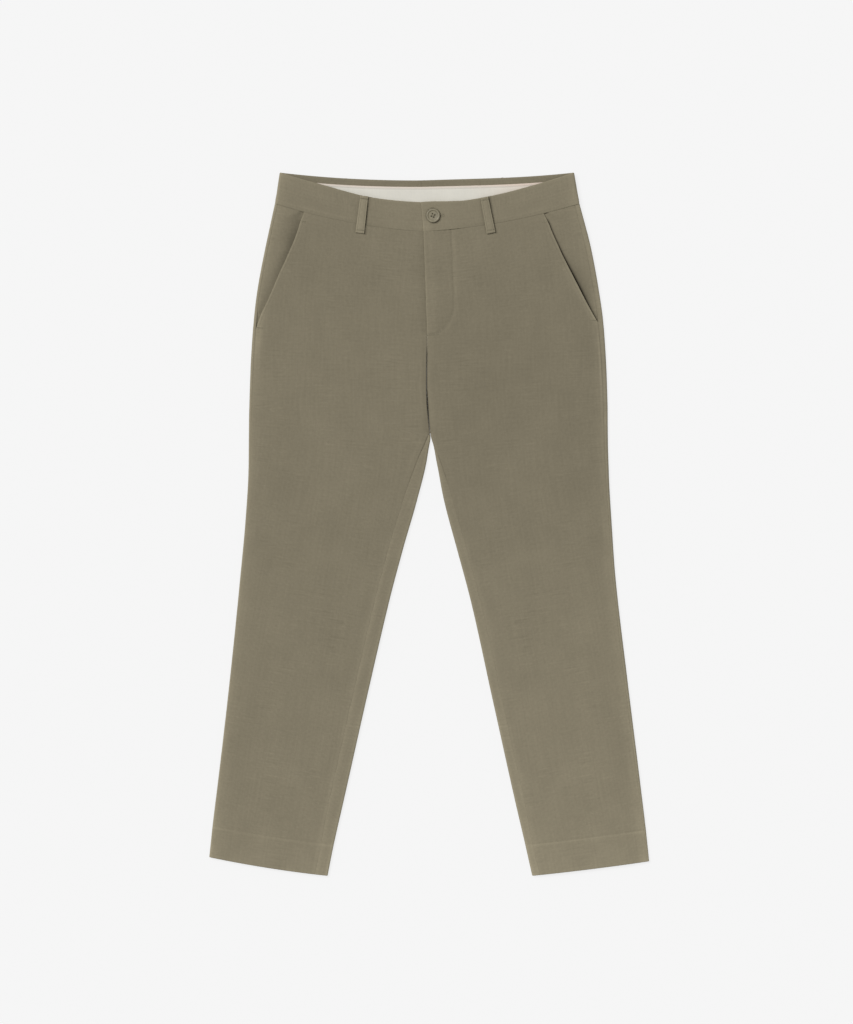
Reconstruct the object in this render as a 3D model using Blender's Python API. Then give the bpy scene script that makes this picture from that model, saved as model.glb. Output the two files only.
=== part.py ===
"""Slim corduroy trousers laid flat on their back, built from the pieces that a tailor cuts.

Run it with: blender --background --python part.py

The cloth lies in the XY plane with +X towards the wearer's left leg, +Y towards the waist and +Z up
from the surface it rests on. Sizes are in millimetres until the last step, where MM makes them metres.
"Down" is the distance from the waistband's top corners towards the hems.

Every section of a leg is a flattened tube: the front lies on top, the back lies below and rolls
round both folds to meet the front at the side seam and the inseam. Above the crotch the two tubes
share one hollow, and their seams rise out of the valley between the legs.
"""

import math
from collections import namedtuple

import bmesh
import bpy
import numpy as np

MM = 0.001

# Driving sizes of the garment.
LENGTH = 984.0  # waistband corner to the inner corner of the hem
CLOTH = 1.4  # corduroy
BAND = 2.4  # waistband: two layers of cloth round an interlining
HEM = 2.2  # cloth with its turned-up allowance behind it
LINING = 1.0  # waistband curtain
LOOP = 2.0  # belt loop, a strip folded on itself
SEAM_GAP = 0.3

# How the cloth lies.
EDGE_DROP = 0.9  # the top layer sinks this much towards a fold
EDGE_RUN = 38.0
SEAM_DIP = 0.35  # groove along a seam
SEAM_RUN = 4.0
VALLEY_RUN = 9.0  # half width of the valley above the crotch
LIFT_RUN = 26.0  # the fly's two layers part over this width

# Columns of a row. outer_x is the half width at the outer folds, which lie shift_x to the side, and
# outer_down is where the row meets them. inner_x is the half gap between the legs and centre_x is
# where the middle seam has rolled to. front_down and back_down are where the row meets the middle,
# and the sags bow it. underside and top are the heights of the two layers. front_valley and
# back_valley sink the middle seam, as a share of the fold's radius. side_seam and inseam scale the
# seams' set-in, lift parts the fly's layers, and underlap is how far one lies under the other.
Row = namedtuple(
    "Row",
    "name outer_x shift_x outer_down inner_x centre_x front_down back_down front_sag back_sag "
    "underside top front_valley back_valley side_seam inseam lift underlap steps",
)
HALF_GAP = SEAM_GAP / 2
LEG_ROWS = [
    Row("waist seam", 213.4, -2.8, 44.0, HALF_GAP, -8.0, 83.0, 53.1, 6.6, 3.2, 2.8, 9.8, 0, 0, 1, 0, 0.85, 12, 2),
    Row("high hip", 228.8, -1.4, 108.8, HALF_GAP, -6.2, 134, 118, 5.0, 2.0, 1.3, 8.1, 0, 0, 1, 0, 0.85, 12, 2),
    Row("low hip", 239.2, -1.5, 164.8, HALF_GAP, -4.6, 181.6, 172, 3.0, 1.0, 0.4, 7.0, 0, 0, 1, 0, 0.85, 12, 1),
    Row("fly tapers", 244.0, -1.1, 199.8, HALF_GAP, -3.6, 209.6, 204, 2.0, 0.5, 0, 6.7, 0, 0, 1, 0, 0.85, 10, 1),
    Row("fly stops", 245.2, -1.0, 212.4, HALF_GAP, -3.2, 222.2, 216, 1.5, 0, 0, 6.7, 0, 0, 1, 0, 0.85, 0, 1),
    Row("fly end", 246.0, -1.0, 220.8, HALF_GAP, -3.0, 229.9, 225, 1.0, 0, 0, 6.7, 0.1, 0, 1, 0, 0.3, 0, 2),
    Row("seat", 249.4, -1.0, 276.8, HALF_GAP, -3.6, 293.6, 293.6, 0, 0, 0, 6.7, 0.35, 0, 0.9, 0, 0, 0, 2),
    Row("crotch curve", 251.0, -1.0, 328.4, HALF_GAP, 1.8, 362.5, 362.5, 0, 0, 0, 6.6, 0.55, 0.15, 0.8, 0, 0, 0, 1),
    Row("crotch", 251.1, -1.1, 332.8, HALF_GAP, 2.2, 367.1, 367.1, 0, 0, 0, 6.6, 1, 1, 0.8, 0, 0, 0, 4),
    Row("crotch point", 251.3, -1.2, 350.4, 3.1, 2.8, 385.0, 385.0, 0, 0, 0, 6.6, 1, 1, 0.75, 0.46, 0, 0, 2),
    Row("thigh top", 251.5, -1.2, 372.0, 7.7, 2.8, 408.0, 408.0, 0, 0, 0, 6.6, 1, 1, 0.7, 0.7, 0, 0, 2),
    Row("thigh", 252.5, -0.8, 421.0, 18.9, 1.6, 458.8, 458.8, 0, 0, 0, 6.6, 1, 1, 0.6, 0.95, 0, 0, 2),
    Row("low thigh", 256.8, -1.0, 493.1, 38.1, 1.1, 528.8, 528.8, 0, 0, 0, 6.6, 1, 1, 0.5, 1, 0, 0, 2),
    Row("knee", 262.7, -1.8, 564.5, 56.7, 1.2, 598.8, 598.8, 0, 0, 0, 6.6, 1, 1, 0.5, 1, 0, 0, 3),
    Row("calf", 278.3, -0.7, 707.3, 88.5, 0.4, 738.8, 738.8, 0, 0, 0, 6.6, 1, 1, 0.6, 1, 0, 0, 3),
    Row("shin", 295.4, 0, 849.4, 119.7, 0.2, 878.8, 878.8, 1.4, 1.4, 0, 6.6, 1, 1, 0.5, 1, 0, 0, 2),
    Row("hem stitching", 303.6, 0, 916.6, 134.3, 0.4, 942.5, 942.5, 3.0, 3.0, 0, 6.6, 1, 1, 0.4, 0.9, 0, 0, 2),
    Row("hem", 308.2, 0, 959.4, 143.4, 1.0, LENGTH, LENGTH, 3.6, 3.6, 0, 6.4, 1, 1, 0.4, 0.9, 0, 0, 0),
]
BAND_ROWS = [
    Row("band edge", 205.6, -3.2, 0, HALF_GAP, -11.8, 41.6, 11.0, 6.7, 3.2, 2.4, 10.4, 0, 0, 1, 0, 1.35, 38, 4),
    Row("band seam", 213.3, -2.8, 43.6, HALF_GAP, -8.0, 82.6, 52.7, 6.6, 3.2, 2.4, 10.4, 0, 0, 1, 0, 1.35, 38, 0),
]
SMOOTH_COLUMNS = Row._fields[1:12]
EVEN_COLUMNS = Row._fields[12:18]

# Each half as it lies: the seams have rolled a little towards the wearer's right. fly_layer is 1 for
# the half whose fly edge lies on top, and slit_gape is how far the pocket mouth stands open. The
# outer corner of a hem lies hem_slip further down, and a front loop sits loop_head and loop_foot
# away from the middle.
Half = namedtuple(
    "Half", "name side side_seam inseam slit_top fly_layer slit_gape hem_slip loop_head loop_foot"
)
HALVES = [
    Half("left", 1, 7.0, 13.0, 50.5, 1, 2.4, 2.8, 91.5, 96.0),
    Half("right", -1, 4.0, 20.0, 39.5, -1, 0.5, -2.0, 78.0, 88.5),
]

POCKET_END_ROW = "fly stops"  # the slant pocket reaches the side seam on this row
FACING_UNDER_FRONT = 28.0  # the facing runs on behind the front
FACING_PAST_SLIT = 14.0
FACING_STEP = CLOTH + 0.45

CURTAIN_BELOW_EDGE = 10.5  # strip of self cloth above the lining
CURTAIN_HEIGHT = 32.0
CURTAIN_FROM_FOLD = 14.0

LOOP_WIDTH = 12.4
LOOP_BELOW_SEAM = 11.0
BACK_LOOP = (112.0, 116.0)  # from the middle to a loop's head and foot
LOOP_RISE = [(0.0, 0.35), (0.12, 0.7), (0.5, 1.1), (0.78, 0.7), (0.9, 0.35), (1.0, 0.1)]

BUTTON_RADIUS = 9.3
BUTTON_THICK = 3.0
BUTTON_RIM = 1.5
BUTTON_DISH = 0.7
BUTTON_HOLE_RADIUS = 0.9
BUTTON_HOLE_SPREAD = 1.9
BUTTON_FROM_EDGE = 15.6
BUTTON_ACROSS_BAND = 0.47  # share of the band's height below its top edge


def smooth(share):
    share = np.clip(share, 0.0, 1.0)
    return share * share * (3 - 2 * share)


def monotone(x, xs, ys):
    """A smooth curve through the points that never overshoots them."""
    xs, ys = np.asarray(xs, float), np.asarray(ys, float)
    steps = np.diff(xs)
    rises = np.diff(ys) / steps
    slopes = np.concatenate([[rises[0]], (rises[1:] + rises[:-1]) / 2, [rises[-1]]])
    for i in range(1, len(xs) - 1):
        before, after = rises[i - 1], rises[i]
        slopes[i] = 0.0 if before * after <= 0 else 2 * before * after / (before + after)
    i = int(np.clip(np.searchsorted(xs, x) - 1, 0, len(steps) - 1))
    t = (x - xs[i]) / steps[i]
    lead = (2 * t**3 - 3 * t**2 + 1) * ys[i] + (t**3 - 2 * t**2 + t) * steps[i] * slopes[i]
    return lead + (3 * t**2 - 2 * t**3) * ys[i + 1] + (t**3 - t**2) * steps[i] * slopes[i + 1]


def filled_rows(rows):
    """The table's rows with the asked number of steps between each and the next."""
    downs = [row.outer_down for row in rows]
    made = []
    for row, following in zip(rows, rows[1:]):
        for step in range(row.steps):
            down = row.outer_down + (following.outer_down - row.outer_down) * step / row.steps
            values = {"name": row.name if step == 0 else "", "steps": 0}
            for column in SMOOTH_COLUMNS:
                values[column] = monotone(down, downs, [getattr(r, column) for r in rows])
            for column in EVEN_COLUMNS:
                values[column] = float(np.interp(down, downs, [getattr(r, column) for r in rows]))
            made.append(Row(**values))
    return made + [rows[-1]]


def row_between(rows, share):
    """A row on the straight line from the first of two rows to the second, or past its end."""
    first, second = rows
    mixed = [a + (b - a) * share for a, b in zip(first[1:], second[1:])]
    return Row("", *mixed)


def quarter(distance, radius):
    """How far a round edge has fallen, as a share of its depth, at this distance from its extreme."""
    reach = np.clip(1 - distance / radius, 0.0, 1.0)
    return 1 - np.sqrt(1 - reach**2)


class Section:
    """One half's cloth across a row: from the middle over the top to the outer fold, and back below.

    Places along it are arc lengths. Zero is the middle seam or inner fold, `fold` the outer fold, and
    `length` the inner fold again from below, past which the legs' sections run on over the top.
    """

    def __init__(self, row, half, edge_drop=EDGE_DROP):
        self.row, self.half = row, half
        slip = half.hem_slip * (row.outer_down / LENGTH) ** 2
        self.outer = np.array([row.shift_x + half.side * row.outer_x, row.outer_down + slip])
        inner_x = half.side * row.inner_x + row.centre_x
        self.inner = {
            True: np.array([inner_x, row.front_down]),
            False: np.array([inner_x, row.back_down]),
        }
        self.width = float(np.linalg.norm(self.inner[True] - self.outer))
        self.radius = (row.top - edge_drop - row.underside) / 2
        self.edge_drop = edge_drop
        self.is_leg = row.front_valley == 1 and row.back_valley == 1
        bend = 1 - np.cos(np.linspace(0, math.pi / 2, 13))
        run = self.valley_shape(row.front_valley)[0]
        across = np.concatenate(
            [
                np.linspace(-row.underlap - 1, 0, 8)[:-1],
                run * bend,
                np.linspace(run, self.width - self.radius, 60)[1:-1],
                self.width - self.radius * bend[::-1],
            ]
        )
        top = np.stack([self.width - across, self.top_height(across)], axis=1)
        below = np.stack([self.width - across, self.under_height(across)], axis=1)[::-1]
        line = np.concatenate([top, below[1:]])
        arcs = np.concatenate([[0], np.cumsum(np.linalg.norm(np.diff(line, axis=0), axis=1))])
        start = arcs[7]  # where the distance from the middle is zero
        self.arcs, self.line = arcs - start, line
        self.fold = self.arcs[len(top) - 1]
        self.length = self.arcs[-1] - start

    def valley_shape(self, valley):
        """The width of the dip at the middle, and how far it has become the round fold of a leg."""
        fold = smooth((valley - 0.6) / 0.4)
        return VALLEY_RUN + (self.radius - VALLEY_RUN) * fold, fold

    def valley(self, from_inner, valley):
        run, fold = self.valley_shape(valley)
        soft, round_fold = 1 - smooth(from_inner / run), quarter(from_inner, run)
        return self.radius * valley * (soft + (round_fold - soft) * fold)

    def top_height(self, from_inner):
        """Height of the top layer at these distances from the middle seam or inner fold."""
        row, from_outer = self.row, self.width - from_inner
        height = row.top - self.edge_drop * (1 - smooth(from_outer / EDGE_RUN))
        height -= self.edge_drop * row.front_valley * (1 - smooth(from_inner / EDGE_RUN))
        height -= self.radius * quarter(from_outer, self.radius) + self.valley(from_inner, row.front_valley)
        level_run = row.underlap if self.half.fly_layer > 0 else 0.0
        return height + row.lift * self.half.fly_layer * (1 - smooth((from_inner - level_run) / LIFT_RUN))

    def under_height(self, from_inner):
        height = self.row.underside + self.radius * quarter(self.width - from_inner, self.radius)
        return height + self.valley(from_inner, self.row.back_valley)

    def flat_point(self, arc):
        """(distance from the outer fold, height, whether it is on the top layer) at an arc length."""
        if self.is_leg:
            arc %= self.length
        on_top = arc <= self.fold
        from_outer = float(np.interp(arc, self.arcs, self.line[:, 0]))
        return from_outer, float(np.interp(arc, self.arcs, self.line[:, 1])), on_top

    def point(self, arc, sink=0.0):
        """The cloth's outer face at an arc length, moved inwards by sink."""
        sunk_middle = self.row.front_valley and not self.is_leg
        ends = (0.0, self.length) if sunk_middle else (-math.inf, math.inf)
        before, after = (self.flat_point(float(np.clip(arc + by, *ends))) for by in (-0.4, 0.4))
        from_outer, height, on_top = self.flat_point(arc)
        run, rise = after[0] - before[0], after[1] - before[1]
        size = math.hypot(run, rise) or 1.0
        from_outer -= sink * rise / size
        height += sink * run / size
        return self.place(from_outer, height, on_top)

    def place(self, from_outer, height, on_top):
        share = from_outer / self.width
        x, drop = (self.inner[on_top] - self.outer) * (share, 1 - abs(1 - share))
        share = 1 - abs(1 - share)  # past the middle a layer follows the other half's slope
        sag = self.row.front_sag if on_top else self.row.back_sag
        down = self.outer[1] + drop + 4 * sag * share * (1 - share)
        return np.array([self.outer[0] + x, LENGTH / 2 - down, height])

    def arc_from_fold(self, distance):
        """The arc length of a place on the top layer, given how far it is from the outer fold."""
        top = self.arcs <= self.fold
        return float(np.interp(-distance, -self.line[top, 0], self.arcs[top]))

    def side_seam(self):
        return self.arc_from_fold(self.half.side_seam * self.row.side_seam)

    def inseam(self):
        """Where the front begins: the middle seam, or the inseam on top of a leg."""
        if not self.row.inseam:
            return 0.0
        round_fold = self.radius * math.pi / 2 - self.radius
        return (self.half.inseam + round_fold) * self.row.inseam


def spread(start, end, count, crowded, run=5.0, far=0.04):
    """count + 1 places from start to end, closer together near the crowded ones."""
    fine = np.linspace(start, end, 600)
    density = far + sum(np.exp(-(((fine - place) / run) ** 2)) for place in crowded)
    total = np.concatenate([[0], np.cumsum((density[1:] + density[:-1]) / 2)])
    return np.interp(np.linspace(0, total[-1], count + 1), total, fine)


def cloth_lines(section, arcs, thickness, seams=()):
    """The outer and the inner face of a piece across one row, a little sunk along its seams."""
    outer, inner = [], []
    for arc in arcs:
        sink = SEAM_DIP * max((smooth(1 - abs(arc - seam) / SEAM_RUN) for seam in seams), default=0.0)
        outer.append(section.point(arc, sink))
        inner.append(section.point(arc, thickness))
    return outer, inner


def leg_cloth(row):
    """How thick the cloth is on this row: more once the hem's turned-up allowance lies behind it."""
    turned_up = next(r for r in LEG_ROWS if r.name == "hem stitching")
    return HEM if row.outer_down > turned_up.outer_down - 0.1 else CLOTH


def slit_distance(row, half):
    """How far the pocket slit is from the outer fold on this row, or None below the slit."""
    end = next(r for r in LEG_ROWS if r.name == POCKET_END_ROW)
    share = (row.outer_down - LEG_ROWS[0].outer_down) / (end.outer_down - LEG_ROWS[0].outer_down)
    if share > 1.0001:
        return None
    straight = half.slit_top + (half.side_seam - half.slit_top) * share
    return straight + half.slit_gape * math.sin(math.pi * min(share, 1.0)) ** 2


def front_rows(half):
    """The front panel: its outer edge is the pocket slit down to the slit's end, then the side seam."""
    grid = []
    for row in filled_rows(LEG_ROWS):
        section = Section(row, half)
        inseam, side = section.inseam(), section.side_seam()
        start, seams = inseam + HALF_GAP, [side]
        if row.inseam or row.front_valley:
            seams.append(inseam)
        if row.underlap and half.fly_layer < 0:
            start = -row.underlap
        slit = slit_distance(row, half)
        end = side - HALF_GAP
        if slit is not None:
            end, seams = min(section.arc_from_fold(slit), end), seams[1:]
        arcs = spread(start, end, 13, [start, inseam, end])
        grid.append(cloth_lines(section, arcs, leg_cloth(row), seams))
    return grid


def back_rows(half):
    """The back panel: from the side seam round the outer fold, underneath, and round the inner fold."""
    grid = []
    for row in filled_rows(LEG_ROWS):
        section = Section(row, half)
        inseam, side = section.inseam(), section.side_seam()
        start, end = side + HALF_GAP, section.length + inseam - HALF_GAP
        arcs = spread(start, end, 18, [section.fold, section.length])
        seams = [side] + ([section.length + inseam] if row.front_valley else [])
        grid.append(cloth_lines(section, arcs, leg_cloth(row), seams))
    return grid


def facing_rows(half):
    """The pocket facing that shows in the slit: level with the side seam, one cloth down at the slit."""
    grid = []
    end_down = next(r for r in LEG_ROWS if r.name == POCKET_END_ROW).outer_down
    for row in filled_rows(LEG_ROWS):
        past_slit = row.outer_down - end_down
        if past_slit > FACING_PAST_SLIT:
            break
        section = Section(row, half)
        side = half.side_seam * row.side_seam + HALF_GAP
        slit = slit_distance(row, half)
        if slit is None:
            slit = side
        shown = slit - side
        openness = smooth((shown - 1.0) / 8.0)
        places = []  # (distance from the fold, sink)
        for share in (0.0, 0.3, 0.6, 0.92):
            level = openness * (1 - smooth(share / 0.92))
            places.append((side + shown * share, FACING_STEP * (1 - level)))
        for share in (0.15, 0.4, 0.7, 1.0):
            places.append((slit + FACING_UNDER_FRONT * share, FACING_STEP))
        if shown < 1.0:
            places = [(slit + FACING_UNDER_FRONT * step / 7, FACING_STEP) for step in range(8)]
        outer, inner = [], []
        for from_fold, sink in places:
            gape = 0.3 * half.slit_gape * math.exp(-(((from_fold - slit) / 9.0) ** 2)) * openness
            sink += min(gape, sink)
            arc = section.arc_from_fold(from_fold)
            outer.append(section.point(arc, sink))
            inner.append(section.point(arc, sink + CLOTH))
        grid.append((outer, inner))
    return grid


def band_rows(half):
    """The waistband of one half, from its end at the fly round the side fold to the centre back."""
    grid = []
    for row in filled_rows(BAND_ROWS):
        section = Section(row, half, edge_drop=0.5)
        start = 0.0 if half.fly_layer > 0 else -row.underlap
        arcs = spread(start, section.length - HALF_GAP, 24, [0.0, section.fold], run=7.0)
        grid.append(cloth_lines(section, arcs, BAND))
    return grid


def curtain_rows():
    """The light lining along the inside of the back waistband, from one side fold to the other."""
    height = BAND_ROWS[1].outer_down - BAND_ROWS[0].outer_down
    grid = []
    for below_edge in (CURTAIN_BELOW_EDGE, CURTAIN_BELOW_EDGE + 16, CURTAIN_BELOW_EDGE + CURTAIN_HEIGHT):
        row = row_between(BAND_ROWS, below_edge / height)
        faces = []
        for sink in (BAND + SEAM_GAP + LINING, BAND + SEAM_GAP):
            left, right = [], []
            for half, line in zip(HALVES, (left, right)):
                section = Section(row, half, edge_drop=0.5)
                for arc in np.linspace(section.fold + CURTAIN_FROM_FOLD, section.length, 9):
                    line.append(section.point(arc, sink))
            faces.append(left[:-1] + right[::-1])
        grid.append(faces)
    return grid


def loop_rows(half, from_middle, on_front):
    """A belt loop: its head at the band's top edge, its foot just below the band's seam."""
    height = BAND_ROWS[1].outer_down - BAND_ROWS[0].outer_down
    foot_row = row_between(BAND_ROWS, 1 + LOOP_BELOW_SEAM / height)
    ends = []
    for row, out in zip((BAND_ROWS[0], foot_row), from_middle):
        section = Section(row, half, edge_drop=0.5)
        ends.append(section.point(out if on_front else section.length - out))
    along = ends[1][:2] - ends[0][:2]
    across = np.array([-along[1], along[0]]) / np.linalg.norm(along) * LOOP_WIDTH / 2
    grid = []
    for share, rise in LOOP_RISE:
        middle = ends[0] + (ends[1] - ends[0]) * share
        height = middle[2] + rise if on_front else 0.0
        places = [middle[:2] + across * side for side in (-1, -0.35, 0.35, 1)]
        near = [np.array([*place, height]) for place in places]
        far = [point + (0, 0, LOOP) for point in near]
        grid.append((far, near) if on_front else (near[::-1], far[::-1]))
    return grid


def material(name, colour, roughness):
    made = bpy.data.materials.new(name)
    made.use_nodes = True
    shader = made.node_tree.nodes["Principled BSDF"]
    shader.inputs["Base Color"].default_value = (*colour, 1.0)
    shader.inputs["Roughness"].default_value = roughness
    return made


def add_object(name, mesh, finish):
    made = bpy.data.objects.new(name, mesh)
    made.data.materials.append(finish)
    bpy.context.scene.collection.objects.link(made)
    return made


def shell(name, grid, finish, flip=False):
    """A closed piece from rows of (outer face, inner face) points, with walls round its edges."""
    shape = bmesh.new()
    outer = [[shape.verts.new(point * MM) for point in line] for line, _ in grid]
    inner = [[shape.verts.new(point * MM) for point in line] for _, line in grid]

    def face(*corners):
        shape.faces.new(corners[::-1] if flip else corners)

    rows, columns = len(grid) - 1, len(grid[0][0]) - 1
    for i in range(rows):
        for j in range(columns):
            face(outer[i][j], outer[i + 1][j], outer[i + 1][j + 1], outer[i][j + 1])
            face(inner[i][j + 1], inner[i + 1][j + 1], inner[i + 1][j], inner[i][j])
        # The walls along a seam are split the same way on both pieces, so they stay parallel.
        face(outer[i][0], inner[i][0], inner[i + 1][0])
        face(outer[i][0], inner[i + 1][0], outer[i + 1][0])
        face(outer[i][columns], inner[i + 1][columns], inner[i][columns])
        face(outer[i][columns], outer[i + 1][columns], inner[i + 1][columns])
    for j in range(columns):
        face(outer[0][j + 1], inner[0][j + 1], inner[0][j], outer[0][j])
        face(outer[rows][j], inner[rows][j], inner[rows][j + 1], outer[rows][j + 1])
    mesh = bpy.data.meshes.new(name)
    shape.to_mesh(mesh)
    shape.free()
    made = add_object(name, mesh, finish)
    mesh.polygons.foreach_set("use_smooth", [True] * len(mesh.polygons))
    mesh.set_sharp_from_angle(angle=math.radians(50))
    return made


def cylinder(name, radius, depth, segments, place):
    shape = bmesh.new()
    bmesh.ops.create_cone(
        shape, cap_ends=True, segments=segments, radius1=radius * MM, radius2=radius * MM, depth=depth * MM
    )
    mesh = bpy.data.meshes.new(name)
    shape.to_mesh(mesh)
    shape.free()
    made = bpy.data.objects.new(name, mesh)
    made.location = [value * MM for value in place]
    bpy.context.scene.collection.objects.link(made)
    return made


def button(finish):
    """The four-hole button: a disc with a raised rim and a shallow dish."""
    band = row_between(BAND_ROWS, BUTTON_ACROSS_BAND)
    seat = Section(band, HALVES[0], edge_drop=0.5).point(BUTTON_FROM_EDGE)
    middle = seat + np.array([0, 0, SEAM_GAP + BUTTON_THICK / 2])
    disc = cylinder("waist_button", BUTTON_RADIUS, BUTTON_THICK, 36, middle)
    disc.data.materials.append(finish)
    shape = bmesh.new()
    shape.from_mesh(disc.data)
    top = max(shape.faces, key=lambda face: face.calc_center_median().z)
    bmesh.ops.inset_region(shape, faces=[top], thickness=BUTTON_RIM * MM)
    bmesh.ops.inset_region(shape, faces=[top], thickness=BUTTON_DISH * MM, depth=-BUTTON_DISH * MM)
    shape.to_mesh(disc.data)
    shape.free()
    rim = disc.modifiers.new("Rim", "BEVEL")
    rim.width, rim.segments, rim.limit_method = 0.5 * MM, 2, "ANGLE"
    for index in range(4):
        angle = math.radians(45 + 90 * index)
        spot = middle + BUTTON_HOLE_SPREAD * np.array([math.cos(angle), math.sin(angle), 0])
        cutter = cylinder(f"button_hole_{index}", BUTTON_HOLE_RADIUS, 3 * BUTTON_THICK, 12, spot)
        cutter.hide_render = True
        cutter.display_type = "WIRE"
        hole = disc.modifiers.new(f"Hole {index}", "BOOLEAN")
        hole.object, hole.operation, hole.solver = cutter, "DIFFERENCE", "EXACT"
    return disc


def build():
    for leftover in list(bpy.data.objects):
        bpy.data.objects.remove(leftover)
    corduroy = material("Corduroy", (0.216, 0.191, 0.133), 0.95)
    lining = material("Waistband lining", (0.66, 0.64, 0.57), 0.9)
    horn = material("Button", (0.24, 0.21, 0.15), 0.5)
    for half in HALVES:
        flip = half.side < 0
        shell(f"front_{half.name}", front_rows(half), corduroy, flip)
        shell(f"back_{half.name}", back_rows(half), corduroy, flip)
        # The facing's rows run from the side seam inwards, so its faces turn the other way.
        shell(f"pocket_facing_{half.name}", facing_rows(half), corduroy, not flip)
        shell(f"waistband_{half.name}", band_rows(half), corduroy, flip)
        front_loop = loop_rows(half, (half.loop_head, half.loop_foot), on_front=True)
        shell(f"belt_loop_front_{half.name}", front_loop, corduroy)
        shell(f"belt_loop_back_{half.name}", loop_rows(half, BACK_LOOP, on_front=False), corduroy)
    centre_loop = loop_rows(HALVES[0], (0.0, 0.0), on_front=False)
    shell("belt_loop_back_centre", centre_loop, corduroy)
    shell("waistband_curtain", curtain_rows(), lining, flip=True)
    button(horn)


build()
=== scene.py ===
"""Corduroy trousers laid flat on their back: cloth, seams, stitching, button and studio.

Run it as a script in Blender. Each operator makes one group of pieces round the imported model, and
main() calls them in order. Places are in millimetres until a mesh is made, where MM makes them metres.

The cloth lies in the XY plane, with +X towards the wearer's left leg, +Y towards the waist and +Z up.
"Down" is the distance from the waistband's top corners towards the hems. Every section of a leg is a
flattened tube: the front lies on top, and the back lies below and rolls round both folds.
"""

import math
from collections import namedtuple

import bmesh
import bpy
import numpy as np
from bpy.props import FloatProperty, FloatVectorProperty, PointerProperty
from bpy.types import Operator, Panel, PropertyGroup
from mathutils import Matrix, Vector
from mathutils.bvhtree import BVHTree


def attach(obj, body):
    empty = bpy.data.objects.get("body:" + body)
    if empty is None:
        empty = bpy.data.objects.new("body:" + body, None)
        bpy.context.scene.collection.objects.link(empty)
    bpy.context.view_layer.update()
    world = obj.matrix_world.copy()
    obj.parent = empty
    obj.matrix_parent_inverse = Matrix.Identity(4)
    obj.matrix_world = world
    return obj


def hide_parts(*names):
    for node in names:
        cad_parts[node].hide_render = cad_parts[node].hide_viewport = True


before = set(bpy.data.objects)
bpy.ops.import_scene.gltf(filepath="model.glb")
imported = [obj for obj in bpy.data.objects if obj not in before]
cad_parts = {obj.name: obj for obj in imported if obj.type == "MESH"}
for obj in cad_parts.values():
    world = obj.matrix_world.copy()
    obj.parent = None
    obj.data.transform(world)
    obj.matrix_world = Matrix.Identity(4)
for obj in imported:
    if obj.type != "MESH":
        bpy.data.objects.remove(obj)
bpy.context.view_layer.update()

bl_info = {
    "name": "Corduroy Trousers",
    "version": (1, 0, 0),
    "blender": (4, 5, 0),
    "location": "View3D > Sidebar > Trousers",
    "description": "Dresses a pair of corduroy trousers, laid flat, with cloth, stitching and a button",
    "category": "Object",
}

MM = 0.001
WAVE_REPEAT = math.tau / 20  # at this scale a wave texture's bands repeat once in each unit

# Sizes of the garment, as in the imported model.
LENGTH = 984.0  # waistband corner to the inner corner of the hem
CLOTH = 1.4  # corduroy
BAND = 2.4  # waistband: two layers of cloth round an interlining
HEM = 2.2  # cloth with its turned-up allowance behind it
LINING = 1.0  # waistband curtain
LOOP = 2.0  # belt loop, a strip folded on itself
PIECE_GAP = 0.3  # between layers that aren't sewn face to face
SEAM_GAP = 0.03  # between two pieces along the seam that joins them
HALF_GAP = SEAM_GAP / 2

# How the cloth lies.
EDGE_DROP = 0.9  # the top layer sinks this much towards a fold
BAND_DROP = 0.5
EDGE_RUN = 38.0
VALLEY_RUN = 9.0  # half width of the valley above the crotch
LIFT_RUN = 26.0  # the fly's two layers part over this width

# How far the cloth's sewn lines and edges stand out or sink.
SEAM_RUN = 0.9  # a seam's groove is this wide on each side
SEAM_DEPTH = 0.26
ALLOWANCE = 8.0  # seam allowances, pressed open behind the cloth
ALLOWANCE_RISE = 0.2
STITCH_DEPTH = 0.34
STITCH_WIDTH = 1.2

Row = namedtuple(
    "Row",
    "name outer_x shift_x outer_down inner_x centre_x front_down back_down front_sag back_sag "
    "underside top front_valley back_valley side_seam inseam lift underlap",
)

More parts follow.
